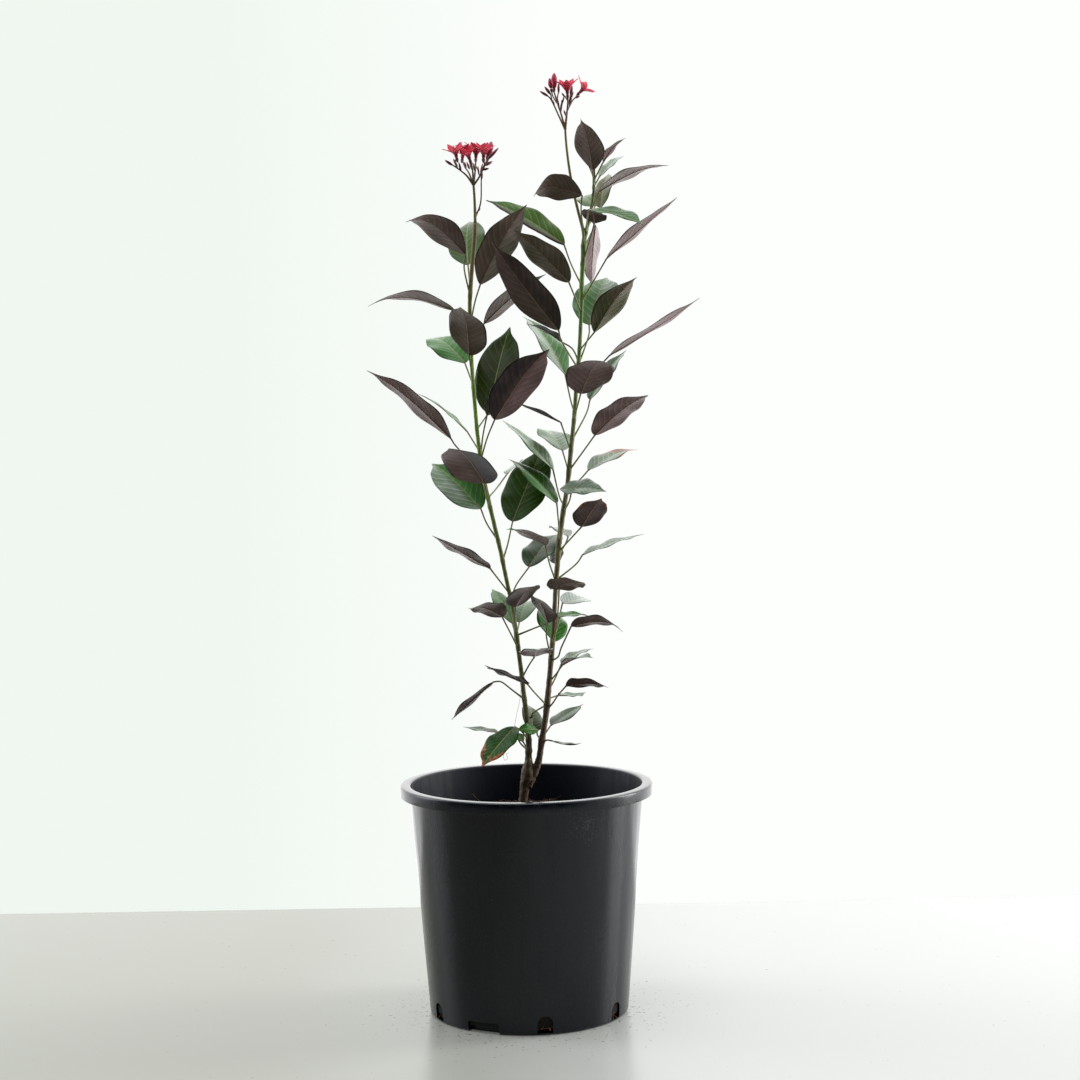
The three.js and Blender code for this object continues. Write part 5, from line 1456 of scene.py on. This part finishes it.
class JATROPHA_OT_flower_heads(bpy.types.Operator):
    """Branches the flower heads: stalks, cups and closed buds"""

    bl_idname = "jatropha.flower_heads"
    bl_label = "Flower heads"

    def execute(self, context):
        skin = stalk_material(
            "flower stalk skin",
            [(0.0, "#857c4c"), (1.0, "#a03c50"), (0.2, "#7a6440"), (0.45, "#5c342c"),
             (0.65, "#5a2830")], 0.4)
        for side in SIDES:
            new_piece(f"{side.name}_flower_stalks", flower_head_bmesh(side), [skin],
                      [f"{side.name}_flower_head"])
        return {"FINISHED"}


class JATROPHA_OT_blooms(bpy.types.Operator):
    """Opens the blooms: petals, necks, stamens, and the big red buds"""

    bl_idname = "jatropha.blooms"
    bl_label = "Blooms"

    def execute(self, context):
        settings = context.scene.jatropha_plant
        face = petal_material("petal face", "#f0703c", settings.petal, "#de4864", 0.5)
        back = petal_material("petal back", "#9a2242", "#c02e52", "#d84a6a", 0.55)
        red = petal_material("bud skin", "#7c1c34", "#ac3050", "#c04464", 0.45)
        neck = skin_material("crimson neck skin", "#6a1c2c", "#a82c48", 0.5)
        pollen = skin_material("pollen", "#d06a1c", "#f0a040", 0.8, 0.5)
        for side in SIDES:
            for index, bloom in enumerate(side.blooms):
                node = f"{side.name}_bloom_{index + 1}"
                turn = FIRST_PETAL_TURN + index * NEXT_BLOOM_TURN
                petals = new_piece(f"{node}_petals", bloom_bmesh(bloom, turn), [face, back],
                                   [node])
                thicken(petals, settings.petal_thickness)
            new_piece(f"{side.name}_flower_necks", necks_bmesh(side.blooms), [neck])
            new_piece(f"{side.name}_anthers", anthers_bmesh(side.blooms), [pollen])
            for index, bud in enumerate(side.big_buds):
                number = f"_{index + 1}" if len(side.big_buds) > 1 else ""
                node = f"{side.name}_red_bud{number}"
                new_piece(f"{node}_petals", big_bud_bmesh(bud), [red], [node])
        return {"FINISHED"}


def add_softbox(name, place, size, power, colour="#ffffff"):
    """A rectangular soft light at a place, turned to face the plant; lengths in metres."""
    light = bpy.data.lights.new(name, "AREA")
    light.shape = "RECTANGLE"
    light.size, light.size_y = size
    light.energy = power
    light.color = linear(colour)
    lamp = new_object(name, light)
    lamp.location = place
    lamp.rotation_euler = (Vector(LIGHTS_AIM) - Vector(place)).to_track_quat("-Z", "Y").to_euler()


class JATROPHA_OT_stage(bpy.types.Operator):
    """Sets the floor, the background, the soft lights and the camera"""

    bl_idname = "jatropha.stage"
    bl_label = "Stage"

    def execute(self, context):
        settings = context.scene.jatropha_stage
        self.make_floor(settings)
        self.make_world(settings)
        self.make_lights()
        self.make_camera(context)
        context.scene.view_settings.view_transform = "Standard"
        return {"FINISHED"}

    def make_floor(self, settings):
        material, tree, place = new_material("painted board")
        across = add(tree, "ShaderNodeSeparateXYZ", {"Vector": place}).outputs["X"]
        patches = add(tree, "ShaderNodeTexNoise", {"Vector": place, "Scale": per(300), "Detail": 3})
        drift = add(tree, "ShaderNodeMath", {0: patches.outputs["Fac"], 1: 0.12, 2: across},
                    operation="MULTIPLY_ADD")
        share = add(tree, "ShaderNodeMapRange",
                    {"Value": drift.outputs[0], "From Min": -0.3, "From Max": 0.36},
                    interpolation_type="SMOOTHSTEP")
        colour = add(tree, "ShaderNodeMix",
                     {0: share.outputs["Result"], 6: rgba(settings.floor_colour),
                      7: rgba(settings.floor_right)}, data_type="RGBA")
        grit = add(tree, "ShaderNodeTexNoise", {"Vector": place, "Scale": per(6), "Detail": 2})
        off_pot = add(tree, "ShaderNodeVectorMath", {0: place}, operation="LENGTH")
        near_pot = add(tree, "ShaderNodeMapRange",
                       {"Value": off_pot.outputs["Value"], "From Min": 0.24, "From Max": 0.12,
                        "To Min": 0.0, "To Max": 0.12})
        gritty = add(tree, "ShaderNodeMath", {0: grit.outputs["Fac"], 1: near_pot.outputs["Result"]})
        clean = add(tree, "ShaderNodeMapRange",
                    {"Value": gritty.outputs[0], "From Min": 0.74, "From Max": 0.76,
                     "To Min": 0.62, "To Max": 0.2})
        matt = add(tree, "ShaderNodeVectorMath",
                   {0: colour.outputs[2], "Scale": clean.outputs["Result"]}, operation="SCALE")
        # The floor glows faintly in its own colour: a painted light that fills the shade round the pot
        shader = add(tree, "ShaderNodeBsdfPrincipled",
                     {"Base Color": matt.outputs[0], "Roughness": 0.26, "IOR": 1.5,
                      "Specular IOR Level": 0.15, "Emission Color": colour.outputs[2],
                      "Emission Strength": 0.12})
        add(tree, "ShaderNodeOutputMaterial", {"Surface": shader.outputs["BSDF"]})
        reach, back = settings.floor_reach, settings.floor_back
        bm = bmesh.new()
        made = bmesh.ops.create_grid(bm, x_segments=1, y_segments=1, size=1)["verts"]
        bmesh.ops.scale(bm, vec=(reach, (reach + back) / 2, 1), verts=made)
        bmesh.ops.translate(bm, vec=(0, (back - reach) / 2, -FLOOR_DROP), verts=made)
        floor = new_object("floor", new_mesh("floor", bm, [material], unit=1))

    def make_world(self, settings):
        world = bpy.data.worlds.new("bright room")
        world.use_nodes = True
        tree = world.node_tree
        tree.nodes.clear()
        heading = add(tree, "ShaderNodeTexCoord").outputs["Generated"]
        split = add(tree, "ShaderNodeSeparateXYZ", {"Vector": heading})
        rightward = add(tree, "ShaderNodeMath",
                        {0: split.outputs["X"], 1: 0.25, 2: split.outputs["Y"]},
                        operation="MULTIPLY_ADD")
        toward = add(tree, "ShaderNodeMapRange",
                     {"Value": rightward.outputs[0], "From Min": -0.6, "From Max": 0.6})
        glow = add(tree, "ShaderNodeValToRGB", {"Fac": toward.outputs["Result"]},
                   stops=[(0.0, "#0e131d"), (1.0, "#ffffff")])
        rays = add(tree, "ShaderNodeLightPath")
        side = add(tree, "ShaderNodeMapRange",
                   {"Value": split.outputs["X"], "From Min": -0.14, "From Max": 0.02})
        wall = add(tree, "ShaderNodeMix",
                   {0: side.outputs["Result"], 6: rgba("#f0f7f0"), 7: rgba(settings.background)},
                   data_type="RGBA")
        colour = add(tree, "ShaderNodeMix",
                     {0: rays.outputs["Is Camera Ray"], 6: glow.outputs["Color"],
                      7: wall.outputs[2]}, data_type="RGBA")
        strength = add(tree, "ShaderNodeMapRange",
                       {"Value": rays.outputs["Is Glossy Ray"], "To Min": 1.0, "To Max": 2.0})
        background = add(tree, "ShaderNodeBackground",
                         {"Color": colour.outputs[2], "Strength": strength.outputs["Result"]})
        add(tree, "ShaderNodeOutputWorld", {"Surface": background.outputs["Background"]})
        bpy.context.scene.world = world

    def make_lights(self):
        add_softbox("overhead softbox", (-0.5, -0.6, 2.6), (2.0, 1.6), 26)
        add_softbox("left window", (-2.2, 0.5, 1.2), (1.0, 2.0), 24, "#eef4ff")
        add_softbox("right window", (2.2, 0.5, 1.1), (0.8, 2.0), 45)

    def make_camera(self, context):
        lens = bpy.data.cameras.new("camera")
        lens.sensor_width = SENSOR_WIDTH
        lens.lens = FOCAL_PIXELS / FRAME_PIXELS * SENSOR_WIDTH
        lens.clip_end = 100
        camera = new_object("camera", lens)
        camera.matrix_world = (
            Matrix.Translation((0, -EYE_DISTANCE * MM, EYE_HEIGHT * MM))
            @ Matrix.Rotation(math.radians(CAMERA_YAW), 4, "Z")
            @ Matrix.Rotation(math.radians(90 - CAMERA_PITCH), 4, "X")
            @ Matrix.Rotation(math.radians(-CAMERA_ROLL), 4, "Z"))
        context.scene.camera = camera


OPERATORS = (
    JATROPHA_OT_pot, JATROPHA_OT_soil, JATROPHA_OT_stems, JATROPHA_OT_leaves,
    JATROPHA_OT_flower_heads, JATROPHA_OT_blooms, JATROPHA_OT_stage,
)


class JATROPHA_PT_sidebar(bpy.types.Panel):
    """The plant's settings and the buttons that build it"""

    bl_idname = "JATROPHA_PT_sidebar"
    bl_label = "Potted jatropha"
    bl_space_type = "VIEW_3D"
    bl_region_type = "UI"
    bl_category = "Jatropha"

    def draw(self, context):
        scene = context.scene
        for group in (scene.jatropha_pot, scene.jatropha_plant, scene.jatropha_stage):
            for name in group.__annotations__:
                self.layout.prop(group, name)
        for operator in OPERATORS:
            self.layout.operator(operator.bl_idname)


CLASSES = (PotSettings, PlantSettings, StageSettings, *OPERATORS, JATROPHA_PT_sidebar)


def register():
    for cls in CLASSES:
        bpy.utils.register_class(cls)
    bpy.types.Scene.jatropha_pot = PointerProperty(type=PotSettings)
    bpy.types.Scene.jatropha_plant = PointerProperty(type=PlantSettings)
    bpy.types.Scene.jatropha_stage = PointerProperty(type=StageSettings)


def unregister():
    del bpy.types.Scene.jatropha_stage
    del bpy.types.Scene.jatropha_plant
    del bpy.types.Scene.jatropha_pot
    for cls in reversed(CLASSES):
        bpy.utils.unregister_class(cls)


def main():
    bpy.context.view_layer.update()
    register()
    bpy.ops.jatropha.pot()
    bpy.ops.jatropha.soil()
    bpy.ops.jatropha.stems()
    bpy.ops.jatropha.leaves()
    bpy.ops.jatropha.flower_heads()
    bpy.ops.jatropha.blooms()
    bpy.ops.jatropha.stage()


if __name__ == "__main__":
    main()
